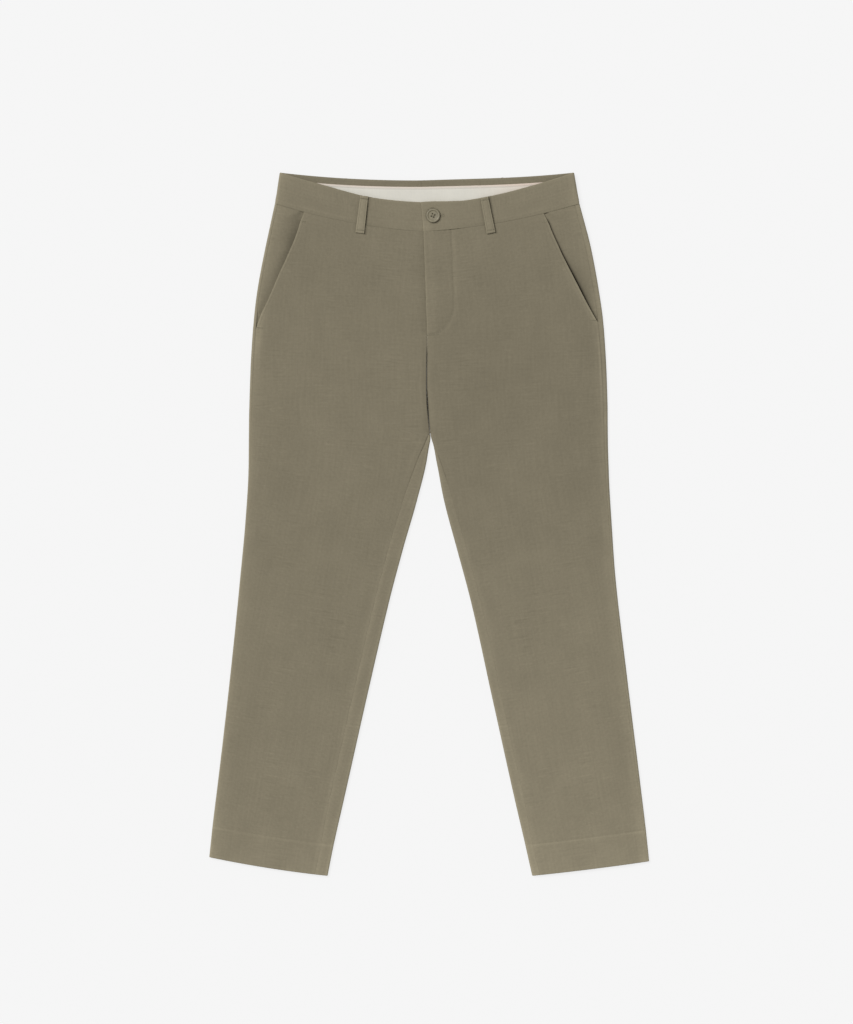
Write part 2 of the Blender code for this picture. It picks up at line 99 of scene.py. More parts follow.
# Columns of a row. outer_x is the half width at the outer folds, which lie shift_x to the side, and
# outer_down is where the row meets them. inner_x is the half gap between the legs and centre_x is
# where the middle seam has rolled to. front_down and back_down are where the row meets the middle,
# and the sags bow it. underside and top are the heights of the two layers. front_valley and
# back_valley sink the middle seam, as a share of the fold's radius. side_seam and inseam scale the
# seams' set-in, lift parts the fly's layers, and underlap is how far one lies under the other.
LEG_ROWS = [
    Row("waist seam", 213.4, -2.8, 44, HALF_GAP, -8, 83, 53.1, 6.6, 3.2, 2.8, 9.8, 0, 0, 1, 0, 0.85, 12),
    Row("high hip", 228.8, -1.4, 108.8, HALF_GAP, -6.2, 134, 118, 5.0, 2.0, 1.3, 8.1, 0, 0, 1, 0, 0.85, 12),
    Row("low hip", 239.2, -1.5, 164.8, HALF_GAP, -4.6, 181.6, 172, 3, 1, 0.4, 7, 0, 0, 1, 0, 0.85, 12),
    Row("fly tapers", 244, -1.1, 199.8, HALF_GAP, -3.6, 209.6, 204, 2, 0.5, 0, 6.7, 0, 0, 1, 0, 0.85, 10),
    Row("fly stops", 245.2, -1.0, 212.4, HALF_GAP, -3.2, 222.2, 216, 1.5, 0, 0, 6.7, 0, 0, 1, 0, 0.85, 0),
    Row("fly end", 246.0, -1.0, 220.8, HALF_GAP, -3.0, 229.9, 225, 1.0, 0, 0, 6.7, 0.1, 0, 1, 0, 0.3, 0),
    Row("seat", 249.4, -1.0, 276.8, HALF_GAP, -3.6, 293.6, 293.6, 0, 0, 0, 6.7, 0.35, 0, 0.9, 0, 0, 0),
    Row("crotch curve", 251, -1, 328.4, HALF_GAP, 0.7, 362.5, 362.5, 0, 0, 0, 6.6, 0.55, 0.15, 0.8, 0, 0, 0),
    Row("crotch", 251.1, -1.1, 332.8, 0.12, 1.7, 367.1, 367.1, 0, 0, 0, 6.6, 1, 1, 0.8, 0.18, 0, 0),
    Row("crotch point", 251.3, -1.2, 350.4, 3.6, 3.2, 385.0, 385.0, 0, 0, 0, 6.6, 1, 1, 0.75, 0.42, 0, 0),
    Row("thigh top", 251.5, -1.2, 372.0, 7.6, 3.4, 408.0, 408.0, 0, 0, 0, 6.6, 1, 1, 0.7, 0.7, 0, 0),
    Row("thigh", 252.5, -0.8, 421.0, 18.75, 1.85, 458.8, 458.8, 0, 0, 0, 6.6, 1, 1, 0.6, 0.95, 0, 0),
    Row("low thigh", 256.8, -1.0, 493.1, 38.1, 1.1, 528.8, 528.8, 0, 0, 0, 6.6, 1, 1, 0.5, 1, 0, 0),
    Row("knee", 262.7, -1.8, 564.5, 56.7, 1.2, 598.8, 598.8, 0, 0, 0, 6.6, 1, 1, 0.5, 1, 0, 0),
    Row("calf", 278.3, -0.7, 707.3, 88.5, 0.4, 738.8, 738.8, 0, 0, 0, 6.6, 1, 1, 0.6, 1, 0, 0),
    Row("shin", 295.4, 0, 849.4, 119.7, 0.2, 878.8, 878.8, 1.4, 1.4, 0, 6.6, 1, 1, 0.5, 1, 0, 0),
    Row("hem stitching", 303.6, 0, 916.6, 134.3, 0.4, 942.5, 942.5, 3.0, 3.0, 0, 6.6, 1, 1, 0.4, 0.9, 0, 0),
    Row("hem", 308.2, 0, 960, 143.4, 1, LENGTH + 1.6, LENGTH + 1.6, 3.6, 3.6, 0, 6.4, 1, 1, 0.4, 0.9, 0, 0),
]
BAND_ROWS = [
    Row("band edge", 206.1, -3.2, 0, HALF_GAP, -11.8, 41.6, 11, 6.7, 3.2, 2.4, 10.4, 0, 0, 1, 0, 1.35, 38),
    Row("band seam", 213.3, -2.8, 43.6, HALF_GAP, -8, 82.6, 52.7, 6.6, 3.2, 2.4, 10.4, 0, 0, 1, 0, 1.35, 38),
]
SMOOTH_COLUMNS = (*Row._fields[1:12], "inseam")
EVEN_COLUMNS = [name for name in Row._fields[1:] if name not in SMOOTH_COLUMNS]

DOWN = {row.name: row.outer_down for row in LEG_ROWS}
PANEL_TOP = DOWN["waist seam"] - PIECE_GAP
BAND_HEIGHT = BAND_ROWS[1].outer_down

# What differs between the wearer's left and right half: (left, right).
HALF_VALUES = {
    "name": ("left", "right"),
    "side": (1, -1),  # which way X leads to its outer fold
    "side_seam": (7.0, 4.0),  # from the outer fold
    "inseam": (13.0, 20.0),  # from the inner fold
    "inseam_ease": (1.9, 1.0),  # holds the inseam near the inner fold below the crotch
    "slit_top": (50.5, 39.5),  # from the outer fold to the pocket slit's top
    "slit_past": (-3.8, 7.3),  # the slit ends this far below the row where the fly stops
    "fly_layer": (1, -1),  # 1 where the fly edge lies on top
    "hem_slip": (5.5, -0.5),  # the hem's outer corner lies this much further down
    "hem_bow": (0.25, 0.58),  # scales how the hem sags
    "loop_head": (90.5, 80.8),  # from the middle to the front loop's head, and to its foot
    "loop_foot": (95.0, 91.8),
    "back_rise": (1.4, 0.2),  # the back waistband's top edge stands up this far
    "waist_seam": (0.35, 0.8),  # how clearly the seam below the waistband shows
    "band_wear": (0.55, 1.0),  # how worn the waistband's lower edge is
    "gape_low": (1.7, 0.6),  # the pocket mouth gapes most low down if above 1, and high up if below 1
    "mouth_lift": (1.0, 0.5),  # how far its edge lifts there, as a share
    "mouth_edge": (0.16, 0.05),  # how far the edge stands up outside its topstitching
    "mouth_stitch": (1.0, 0.45),  # how deep that topstitching sinks, as a share
    "inner_glow": (0.0, 0.4),  # painted highlight on the pile at the leg's inner fold: how much paler it is
    "rolled_tone": (0.08, 0.06),  # how much paler the back is where it has rolled on to the front
    "loop_tone": (1.11, 1.22),  # the belt loops' pile, paler with a painted highlight on their raised faces
    "loop_shade": (0.4, 0.7),  # how dark the shade is beside the front loop
}
Half = namedtuple("Half", HALF_VALUES)
HALVES = [Half(*values) for values in zip(*HALF_VALUES.values())]
LEFT = HALVES[0]

# The front waistband's top edge sinks: (share of the way to the middle, sink on the left, on the right).
EDGE_DIP = [
    (0.0, 0.0, 0.0),
    (0.15, 0.8, -0.7),
    (0.3, 1.9, -1.0),
    (0.45, 3.2, 0.2),
    (0.6, 4.0, 1.7),
    (0.7, 4.2, 1.8),
    (0.8, 2.7, 1.4),
    (0.88, 1.1, 0.9),
    (0.94, 0.1, 0.5),
    (1.0, 0.0, 0.0),
]

# The pocket mouths bow inwards: (share of the way down, bow on the wearer's left, bow on the right).
SLIT_BOW = [
    (0.0, 0.3, 2.0),
    (0.085, 1.3, 2.9),
    (0.17, 3.7, 4.8),
    (0.29, 6.0, 6.1),
    (0.41, 7.4, 6.1),
    (0.51, 7.4, 5.5),
    (0.65, 6.7, 4.9),
    (0.78, 5.6, 3.3),
    (0.87, 4.3, 1.0),
    (0.95, 2.4, 0.1),
    (1.0, 0.8, 0.0),
]

FACING_UNDER_FRONT = 28.0  # the pocket facing runs on behind the front
FACING_PAST_SLIT = 14.0
FACING_STEP = CLOTH + 0.45
CURTAIN_BELOW_EDGE = 9.5
CURTAIN_HEIGHT = 32.0
CURTAIN_FROM_FOLD = 14.0
CURTAIN_SINK = BAND + PIECE_GAP + LINING  # from the waistband's outer face to the curtain's shown one
CURTAIN_STITCH = 3.8  # from the curtain's top edge to its stitching
BAND_UNDER_PANELS = 0.25  # the waistband runs on this far past its seam
LOOP_HEAD_WIDTH = 11.2
LOOP_FOOT_WIDTH = 12.4
LOOP_BELOW_SEAM = 13.2
LOOP_TACK = 4.2  # from a loop's end to the bar that holds it
LOOP_EDGE_STITCH = 2.0  # from a loop's side to its stitching
BACK_LOOP = (112.0, 116.0)  # from the middle to a loop's head and foot
FLY_WIDTH = 39.0  # from the fly edge to the curved topstitching
FLY_CURVE = 50.0  # the topstitching turns towards the fly's foot over this height
FLY_FOOT = DOWN["fly end"] - 2.0
SLIT_STITCH = 3.6  # the pocket mouth's topstitching, from its edge
MOUTH_LIFT = 1.0  # the mouth's edge stands up this far where it gapes, and the facing dips this far
MOUTH_DIP = 2.0
BUTTON_RADIUS = 9.5
BUTTON_THICK = 3.1
BUTTON_DISH = 1.1
BUTTON_STEP = 0.12  # between the rim, the shoulder and the dish
HOLE_RADIUS = 1.15
HOLE_SPREAD = 2.5  # from the button's middle to a hole's
HOLE_TURN = 21  # degrees from +X to the first hole
STRAND = 0.24  # radius of the button's thread
BUTTON_FROM_EDGE = 15.6
BUTTON_ACROSS_BAND = 0.49  # share of the band's height below its top edge
BUTTONHOLE = (13.5, 31.0)  # from the waistband's end to the hole's two ends

# Rows and columns of the pieces, without those that round their edges off.
PANEL_ROWS, PANEL_COLUMNS = 262, 84
FACING_ROWS, FACING_COLUMNS = 80, 44
BAND_LINES, BAND_COLUMNS = 24, 150

# Painted highlight where the pile catches light as the cloth turns away: how much paler it is, and how far
# from the fold.
FOLD_GLOW = (0.22, 4.2)
SIDE_GLOW = (0.14, 14.0)

# Soft creases: where each begins and ends, its half width, how far it stands out (or
# sinks, where negative), and how far it bows to its left. The back's are seen from above too.
Crease = namedtuple("Crease", "x y to_x to_y width rise bow")
FRONT_CREASES = [
    Crease(8, 196, 92, 244, 15, -0.45, 8),
    Crease(-14, 190, -104, 232, 17, -0.5, -9),
    Crease(-10, 148, -70, 176, 10, 0.35, -5),
    Crease(12, 140, 74, 172, 12, 0.4, 6),
    Crease(-238, 262, -206, 226, 16, 0.6, 4),
    Crease(232, 262, 190, 240, 15, 0.5, -4),
    Crease(-214, 118, -122, 150, 20, -0.35, 6),
    Crease(120, 96, 226, 74, 22, 0.4, -8),
    Crease(66, 6, 158, 24, 7, -0.4, 3),
    Crease(84, -22, 176, 2, 9, 0.35, -4),
    Crease(96, -54, 206, -30, 8, -0.45, 5),
    Crease(150, -88, 240, -70, 11, 0.35, 0),
    Crease(-196, 22, -96, -4, 12, 0.35, -6),
    Crease(-238, -58, -150, -82, 13, -0.4, 5),
    Crease(-160, -118, -96, -136, 9, -0.25, 3),
    Crease(118, -150, 232, -128, 16, -0.3, 6),
    Crease(-252, -196, -168, -214, 15, 0.35, -6),
    Crease(150, -236, 262, -222, 13, 0.3, -5),
    Crease(-272, -318, -196, -306, 14, -0.3, 6),
    Crease(176, -330, 280, -352, 15, -0.35, -6),
    Crease(-190, 330, -96, 352, 18, -0.3, 8),
    Crease(70, 336, 168, 372, 16, 0.3, -6),
    Crease(34, 268, 88, 300, 8, -0.28, 3),
]
BACK_CREASES = [
    Crease(-18, 176, -120, 214, 16, -0.6, 8),
    Crease(20, 168, 128, 200, 14, -0.5, -7),
    Crease(-160, 256, -70, 290, 15, -0.45, 6),
    Crease(84, 262, 176, 240, 17, -0.5, -6),
    Crease(-206, 60, -100, 34, 12, -0.5, 5),
    Crease(92, 20, 214, 44, 14, -0.55, -7),
    Crease(-226, -72, -120, -48, 10, -0.4, 4),
    Crease(112, -96, 236, -118, 12, -0.45, -6),
    Crease(-258, -240, -166, -222, 14, -0.4, 5),
    Crease(160, -262, 258, -284, 13, -0.4, -4),
]

# Paler towards the hems and at the band, and different from side to side:
# (down, tone on the wearer's right side, tone on the left), with 1 as the cloth's own colour.
TONES = [
    (0, 1.06, 1.07),
    (60, 1.0, 1.02),
    (150, 0.965, 0.955),
    (290, 0.975, 0.915),
    (430, 0.975, 0.945),
    (560, 0.985, 1.0),
    (700, 1.0, 1.04),
    (860, 1.03, 1.09),
    (984, 1.13, 1.21),
]


# Shape: the flattened tube and its sections.


def smooth(share):
    """0 up to 0 and 1 from 1 on, with a soft slope between."""
    share = np.clip(share, 0.0, 1.0)
    return share * share * (3 - 2 * share)


def monotone(x, xs, ys):
    """A smooth curve through the points that never overshoots them."""
    x, xs, ys = (np.asarray(values, float) for values in (x, xs, ys))
    steps = np.diff(xs)
    rises = np.diff(ys) / steps
    slopes = np.concatenate([[rises[0]], (rises[1:] + rises[:-1]) / 2, [rises[-1]]])
    for i in range(1, len(xs) - 1):
        before, after = rises[i - 1], rises[i]
        slopes[i] = 0.0 if before * after <= 0 else 2 * before * after / (before + after)
    i = np.clip(np.searchsorted(xs, x) - 1, 0, len(steps) - 1)
    t = (x - xs[i]) / steps[i]
    lead = (2 * t**3 - 3 * t**2 + 1) * ys[i] + (t**3 - 2 * t**2 + t) * steps[i] * slopes[i]
    return lead + (3 * t**2 - 2 * t**3) * ys[i + 1] + (t**3 - t**2) * steps[i] * slopes[i + 1]


def leg_rows(downs):
    """Rows of the legs' table at these distances down the outer fold."""
    table_downs = [row.outer_down for row in LEG_ROWS]
    columns = {name: [getattr(row, name) for row in LEG_ROWS] for name in Row._fields[1:]}
    made = {name: monotone(downs, table_downs, columns[name]) for name in SMOOTH_COLUMNS}
    made.update({name: np.interp(downs, table_downs, columns[name]) for name in EVEN_COLUMNS})
    return [Row("", *(made[name][i] for name in Row._fields[1:])) for i in range(len(downs))]


def band_row(share):
    """A row of the waistband, from its top edge at 0 to its seam at 1, and on past it."""
    mixed = [a + (b - a) * share for a, b in zip(BAND_ROWS[0][1:], BAND_ROWS[1][1:])]
    return Row("", *mixed)


def quarter(distance, radius):
    """How far a round edge has fallen, as a share of its depth, at this distance from its extreme."""
    reach = np.clip(1 - np.abs(distance) / radius, 0.0, 1.0)
    return 1 - np.sqrt(1 - reach**2)


class Section:
    """One half's cloth across a row: from the middle over the top to the outer fold, and back below.

    Places along it are arc lengths. Zero is the middle seam or inner fold, `fold` the outer fold, and
    `length` the inner fold again from below, past which the legs' sections run on over the top.
    """

    REACH = 0.4  # the slope at a place is read this far on each side

    def __init__(self, row, half, edge_drop=EDGE_DROP):
        self.row, self.half = row, half
        slip = half.hem_slip * (row.outer_down / LENGTH) ** 2
        self.outer = np.array([row.shift_x + half.side * row.outer_x, row.outer_down + slip])
        self.inner_x = half.side * row.inner_x + row.centre_x
        self.width = math.hypot(self.inner_x - self.outer[0], row.front_down - self.outer[1])
        self.radius = (row.top - edge_drop - row.underside) / 2
        self.edge_drop = edge_drop
        self.is_leg = row.front_valley == 1 and row.back_valley == 1
        bend = 1 - np.cos(np.linspace(0, math.pi / 2, 25))
        run = self.valley_shape(row.front_valley)[0]
        across = np.concatenate(
            [
                np.linspace(-row.underlap - 1, 0, 30)[:-1],
                run * bend,
                np.linspace(run, self.width - self.radius, 160)[1:-1],
                self.width - self.radius * bend[::-1],
            ]
        )
        top = np.stack([self.width - across, self.top_height(across)], axis=1)
        below = np.stack([self.width - across, self.under_height(across)], axis=1)[::-1]
        line = np.concatenate([top, below[1:]])
        arcs = np.concatenate([[0], np.cumsum(np.linalg.norm(np.diff(line, axis=0), axis=1))])
        start = arcs[29]  # where the distance from the middle is zero
        self.arcs, self.line = arcs - start, line
        self.fold = self.arcs[len(top) - 1]
        self.length = self.arcs[-1] - start

    def valley_shape(self, valley):
        """The width of the dip at the middle, and how far it has become the round fold of a leg."""
        fold = smooth((valley - 0.6) / 0.4)
        return VALLEY_RUN + (self.radius - VALLEY_RUN) * fold, fold

    def valley(self, from_inner, valley):
        run, fold = self.valley_shape(valley)
        soft, round_fold = 1 - smooth(from_inner / run), quarter(np.maximum(from_inner, 0), run)
        return self.radius * valley * (soft + (round_fold - soft) * fold)

    def top_height(self, from_inner):
        """Height of the top layer at these distances from the middle seam or inner fold."""
        row, from_outer = self.row, self.width - from_inner
        height = row.top - self.edge_drop * (1 - smooth(from_outer / EDGE_RUN))
        height -= self.edge_drop * row.front_valley * (1 - smooth(from_inner / EDGE_RUN))
        height -= self.radius * quarter(from_outer, self.radius) + self.valley(from_inner, row.front_valley)
        level_run = row.underlap if self.half.fly_layer > 0 else 0.0
        return height + row.lift * self.half.fly_layer * (1 - smooth((from_inner - level_run) / LIFT_RUN))

    def under_height(self, from_inner):
        height = self.row.underside + self.radius * quarter(self.width - from_inner, self.radius)
        return height + self.valley(from_inner, self.row.back_valley)

    def laid(self, arcs):
        """(distance from the outer fold, height, whether it is on the top layer) at arc lengths."""
        if self.is_leg:
            arcs = arcs % self.length
        return *(np.interp(arcs, self.arcs, values) for values in self.line.T), arcs <= self.fold

    def points(self, arcs, sink=0.0):
        """The cloth's outer face at arc lengths, moved inwards by sink."""
        arcs = np.atleast_1d(np.asarray(arcs, float))
        sunk_middle = self.row.front_valley and not self.is_leg
        ends = (0.0, self.length) if sunk_middle else (-math.inf, math.inf)
        before, after = (self.laid(np.clip(arcs + by, *ends)) for by in (-self.REACH, self.REACH))
        from_outer, height, on_top = self.laid(arcs)
        run, rise = after[0] - before[0], after[1] - before[1]
        size = np.maximum(np.hypot(run, rise), 1e-6)
        return self.place(from_outer - sink * rise / size, height + sink * run / size, on_top)

    def place(self, from_outer, height, on_top):
        share = from_outer / self.width
        inner_down = np.where(on_top, self.row.front_down, self.row.back_down)
        sag = np.where(on_top, self.row.front_sag, self.row.back_sag)
        if self.row.outer_down > DOWN["calf"]:
            sag = sag * self.half.hem_bow
        x = self.outer[0] + (self.inner_x - self.outer[0]) * share
        on_left = (share <= 1) == (self.half.side > 0)
        share = 1 - np.abs(1 - share)  # past the middle a layer follows the other half's slope
        down = self.outer[1] + (inner_down - self.outer[1]) * share + 4 * sag * share * (1 - share)
        at_edge = max(0.0, 1 - self.row.outer_down / BAND_HEIGHT)
        if at_edge:
            shares, left, right = np.array(EDGE_DIP).T
            dip = np.where(on_left, monotone(share, shares, left), monotone(share, shares, right))
            rise = self.half.back_rise * np.sin(math.pi * np.clip(share, 0, 1) ** 1.8)
            down = down + at_edge * np.where(on_top, dip, -rise)
        return np.stack([x, LENGTH / 2 - down, height], axis=-1)

    def arc_from_fold(self, distance):
        """The arc length of a place on the top layer, given how far it is from the outer fold."""
        top = self.arcs <= self.fold
        return np.interp(-np.asarray(distance, float), -self.line[top, 0], self.arcs[top])

    def side_seam(self):
        return float(self.arc_from_fold(self.half.side_seam * self.row.side_seam))

    def inseam(self):
        """Where the front begins: the middle seam, or the inseam on top of a leg."""
        if not (self.is_leg and self.row.inseam):
            return 0.0
        round_fold = self.radius * math.pi / 2 - self.radius
        return (self.half.inseam + round_fold) * self.row.inseam**self.half.inseam_ease


def leg_sections(downs, half):
    """The half's sections at these distances down the outer fold."""
    return [Section(row, half) for row in leg_rows(downs)]


def band_section(share, half):
    """The half's section of the waistband, from its top edge at 0 to its seam at 1."""
    return Section(band_row(share), half, BAND_DROP)


def slit_span(half):
    """How far down the outer fold the pocket slit begins and ends."""
    return DOWN["waist seam"], DOWN["fly stops"] + half.slit_past


def slit_distance(row, half):
    """How far the pocket slit is from the outer fold on this row, or None below the slit."""
    top, end = slit_span(half)
    share = (row.outer_down - top) / (end - top)
    if share > 1.0001:
        return None
    share = max(share, 0.0)
    straight = half.slit_top + (half.side_seam - half.slit_top) * share
    table = np.array(SLIT_BOW)
    return straight + float(monotone(share, table[:, 0], table[:, 1 if half.side > 0 else 2]))


# Shape: rows and columns of a piece, its relief and its mesh.

EDGE_BENDS = 1 - np.sin(np.radians([30, 52, 72, 90]))  # columns that round an edge off


def spread(start, end, count, beds, coarse):
    """count + 1 places from start to end, closer together in each bed: (place, spacing, run)."""
    fine = np.linspace(start, end, 3000)
    density = np.full_like(fine, 1 / coarse)
    for place, gap, run in beds:
        density += np.exp(-(((fine - place) / run) ** 2)) / gap
    total = np.concatenate([[0], np.cumsum((density[1:] + density[:-1]) / 2)])
    return np.interp(np.linspace(0, total[-1], count + 1), total, fine)


def edged(start, end, run, count, beds, coarse):
    """Places with a few more that round both ends off over the run."""
    middle = spread(start + run, end - run, count, beds, coarse)
    return np.concatenate([start + run * EDGE_BENDS[::-1], middle, end - run * EDGE_BENDS])


def seam_bed(place):
    """Room for a seam's groove and for what shows through beside it."""
    return [(place, 0.45, 1.8), (place, 1.4, 8.0)]


def groove(distance, width=STITCH_WIDTH):
    """1 on a line and falling away on both sides of it."""
    return np.exp(-((distance / width) ** 2))


def unevenness(x, y, spacing, seed):
    """Soft hills and hollows from -1 to 1, about this spacing apart."""
    lattice = np.random.default_rng(seed).uniform(-1, 1, (64, 64))
    i, j = np.floor(x / spacing), np.floor(y / spacing)
    across, along = smooth(x / spacing - i), smooth(y / spacing - j)
    i, j = i.astype(int) % 63, j.astype(int) % 63
    low = lattice[i, j] * (1 - across) + lattice[i + 1, j] * across
    high = lattice[i, j + 1] * (1 - across) + lattice[i + 1, j + 1] * across
    return low * (1 - along) + high * along


def creased(x, y, creases):
    """How far the cloth stands out at these places."""
    rise = np.zeros_like(x)
    for crease in creases:
        start, end = np.array([crease.x, crease.y]), np.array([crease.to_x, crease.to_y])
        length = np.linalg.norm(end - start)
        along_x, along_y = (end - start) / length
        along = ((x - crease.x) * along_x + (y - crease.y) * along_y) / length
        side = (y - crease.y) * along_x - (x - crease.x) * along_y
        side = side - crease.bow * 4 * along * (1 - along)
        fade = smooth((along + 0.25) / 0.5) * smooth((1.25 - along) / 0.5)
        rise += crease.rise * fade * np.exp(-((side / crease.width) ** 2))
    return rise


class Cloth:
    """A piece of cloth: rows of sections, the arc lengths of its columns, and its relief.

    `rise` lifts both faces, `press` sinks the outer face alone, and `tuck` lifts the inner face alone.
    The marks colour the cloth: seam darkens a sewn line; the wear mark pales a worn edge, and where it is
    negative it is painted shade; shade is painted shade for what lies deep behind an edge; and tone scales
    the panel's colour, painted highlights and shade among it.
    """

    def __init__(self, sections, arcs, thickness, sink=0.0):
        self.sections, self.arcs = sections, np.array(arcs)
        self.downs = np.array([[section.row.outer_down] for section in sections]) + 0 * self.arcs
        self.from_start, self.from_end = self.arcs - self.arcs[:, :1], self.arcs[:, -1:] - self.arcs
        self.thickness = thickness
        self.sink = sink + np.zeros_like(self.arcs)
        self.press, self.tuck, self.rise = (np.zeros_like(self.arcs) for _ in range(3))
        self.seam, self.worn, self.shade = (np.zeros_like(self.arcs) for _ in range(3))
        self.tone = np.ones_like(self.arcs)
        self.base = self.at(self.sink)
        self.folds = np.array([[section.fold] for section in sections])
        self.lengths = np.array([[section.length] for section in sections])
        self.legs = np.array([[section.is_leg] for section in sections])
        folded = np.where(self.legs, self.arcs % self.lengths, self.arcs)
        self.on_top = folded <= self.folds
        self.from_side = np.abs(folded - self.folds)
        self.from_inner = np.where(self.legs, np.minimum(folded, self.lengths - folded), 1000.0)
        self.from_folds = np.minimum(self.from_side, self.from_inner)

    def at(self, sink):
        return np.array([s.points(a, k) for s, a, k in zip(self.sections, self.arcs, sink)])

    def drape(self, amount):
        """Creases and unevenness of the whole garment, so neighbours agree along their seams."""
        x, y = self.base[..., 0], self.base[..., 1]
        calm = smooth(self.from_folds / 24.0)
        waves = 0.42 * unevenness(x + 400, y + 700, 74.0, 3) + 0.16 * unevenness(x + 400, y + 700, 31.0, 5)
        top = waves + creased(x, y, FRONT_CREASES)
        under = -np.abs(waves) * 0.6 + creased(x, y, BACK_CREASES)
        self.rise += amount * calm * np.where(self.on_top, top, under)

    def uneven(self, spacing, seed, low=0.0, high=1.0):
        """Soft patches over the garment, from low to high."""
        x, y = self.base[..., 0] + 900, self.base[..., 1] + 900
        return low + (high - low) * (unevenness(x, y, spacing, seed) + 1) / 2

    def sewn_edge(self, distance, share=1.0, allowance=True):
        """A seam along an edge: its uneven groove, and the allowances pressed open behind it."""
        show = self.uneven(26.0, 13, 0.1, 1.0)
        self.press += share * SEAM_DEPTH * quarter(distance, SEAM_RUN)
        self.seam += 0.45 * share * show * groove(distance, 0.8)
        if allowance:
            pucker = self.uneven(8.0, 11, -0.1, 0.1) * groove(distance, 7.0)
            padding = ALLOWANCE_RISE * (1 - smooth((distance - ALLOWANCE + 1.5) / 3))
            self.press -= share * (padding * smooth(distance / 2.0) + pucker)
            speckle = self.uneven(2.4, 17, 0.5, 1.0)
            worn = 0.6 * show * groove(distance - ALLOWANCE, 2.0)
            self.worn += share * (worn + 0.3 * speckle * groove(distance - 2.6, 2.4))

    def folded_edge(self, distance, share=1.0, run=SEAM_RUN, depth=0.6):
        """Cloth turned in along an edge, which is round and a little worn."""
        fall = share * depth * quarter(distance, run)
        self.press += fall
        self.tuck += fall
        self.worn += 0.7 * share * groove(distance, 1.5)

    def stitched_line(self, distance, share=1.0, dark=0.55):
        self.press += share * STITCH_DEPTH * groove(distance)
        self.seam += share * dark * groove(distance, 0.75)

    def glow(self):
        """The painted highlight near the folds, where the pile stands up to the light: how much paler it is.
        """
        inner_glow = self.sections[0].half.inner_glow
        paler = FOLD_GLOW[0] * groove(self.from_folds, FOLD_GLOW[1])
        paler += SIDE_GLOW[0] * groove(self.from_side, SIDE_GLOW[1])
        paler += inner_glow * groove(self.from_inner, 3.5)
        return 1 + paler * np.where(self.on_top, 1.0, 0.5)

    def faces(self):
        """The outer and inner faces, which stay apart where two rounded edges meet."""
        over = np.maximum(self.press + self.tuck - self.thickness + 0.2, 0.0) / 2
        outer = self.at(self.sink + self.press - over - self.rise)
        inner = self.at(self.sink + self.thickness - self.tuck + over - self.rise)
        return outer, inner

    def grain(self, below=False):
        """Cloth coordinates in mm: across the wales and along them, which follow the leg's middle."""
        widths = np.array([[section.width / 2] for section in self.sections])
        middle_arcs = self.folds + (widths if below else -widths)
        middle = np.array([s.points(a)[0][:2] for s, a in zip(self.sections, middle_arcs)])
        tangent = np.gradient(middle, axis=0)
        steps = np.linalg.norm(np.diff(middle, axis=0), axis=1)
        tangent = tangent / np.linalg.norm(tangent, axis=1)[:, None]
        along = np.concatenate([[0], np.cumsum(steps)])
        offset = self.base[..., :2] - middle[:, None]
        v = along[:, None] + (offset * tangent[:, None]).sum(axis=2)
        outward = np.array([s.outer[0] - s.inner_x for s in self.sections])
        slope = np.array([s.row.front_down - s.outer[1] for s in self.sections])
        row_way = np.stack([outward, slope], axis=1)
        row_way /= np.linalg.norm(row_way, axis=1)[:, None]
        square = np.abs(row_way[:, 0] * tangent[:, 1] - row_way[:, 1] * tangent[:, 0])
        u = (self.arcs - middle_arcs) * square[:, None]
        return np.stack([u, v], axis=-1)


def sheet_mesh(name, outer, inner, uv, marks, flip=False):
    """A closed sheet from two faces of rows and columns, with walls round its rim."""
    rows, columns = outer.shape[:2]
    count = rows * columns
    near = np.arange(count).reshape(rows, columns)
    far = near + count

    def quads(*corners):
        return np.stack([corner.ravel() for corner in corners], axis=1)

    shown = quads(near[:-1, :-1], near[1:, :-1], near[1:, 1:], near[:-1, 1:])
    hidden = quads(far[:-1, 1:], far[1:, 1:], far[1:, :-1], far[:-1, :-1])
    walls = [
        quads(near[:-1, 0], far[:-1, 0], far[1:, 0], near[1:, 0]),
        quads(near[:-1, -1], near[1:, -1], far[1:, -1], far[:-1, -1]),
        quads(near[0, 1:], far[0, 1:], far[0, :-1], near[0, :-1]),
        quads(near[-1, :-1], far[-1, :-1], far[-1, 1:], near[-1, 1:]),
    ]
    faces = np.concatenate([shown, hidden, *walls])
    if flip:
        faces = faces[:, ::-1]
    vertices = np.concatenate([outer.reshape(-1, 3), inner.reshape(-1, 3)]) * MM
    mesh = bpy.data.meshes.new(name)
    mesh.from_pydata(vertices.tolist(), [], faces.tolist())
    both = np.concatenate([uv.reshape(-1, 2)] * 2) * MM
    layer = mesh.uv_layers.new(name="Cloth")
    layer.data.foreach_set("uv", both[faces.ravel()].astype(np.float32).ravel())
    for mark, values in marks.items():
        attribute = mesh.attributes.new(mark, "FLOAT", "POINT")
        attribute.data.foreach_set("value", np.concatenate([values.ravel()] * 2).astype(np.float32))
    kinds = np.zeros(len(faces), np.int32)
    kinds[len(shown) : len(shown) + len(hidden)] = 1
    mesh.polygons.foreach_set("material_index", kinds)
    mesh.polygons.foreach_set("use_smooth", np.ones(len(faces), bool))
    mesh.set_sharp_from_angle(angle=math.radians(62))
    mesh.update()
    return mesh


def face_area(outer):
    """Area in square metres of a face given by rows and columns of points in mm."""
    down, across = np.diff(outer, axis=0)[:, :-1], np.diff(outer, axis=1)[:-1]
    return float(np.linalg.norm(np.cross(down, across), axis=2).sum()) * MM * MM


def add_piece(name, mesh, materials, replaced=()):
    """Puts a finished mesh into the scene, on the garment's one body."""
    made = bpy.data.objects.new(name, mesh)
    for material in materials:
        mesh.materials.append(material)
    bpy.context.scene.collection.objects.link(made)
    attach(made, "root")
    if replaced:
        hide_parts(*replaced)
    return made


SMALLEST_FLAT = 0.0102  # in metres


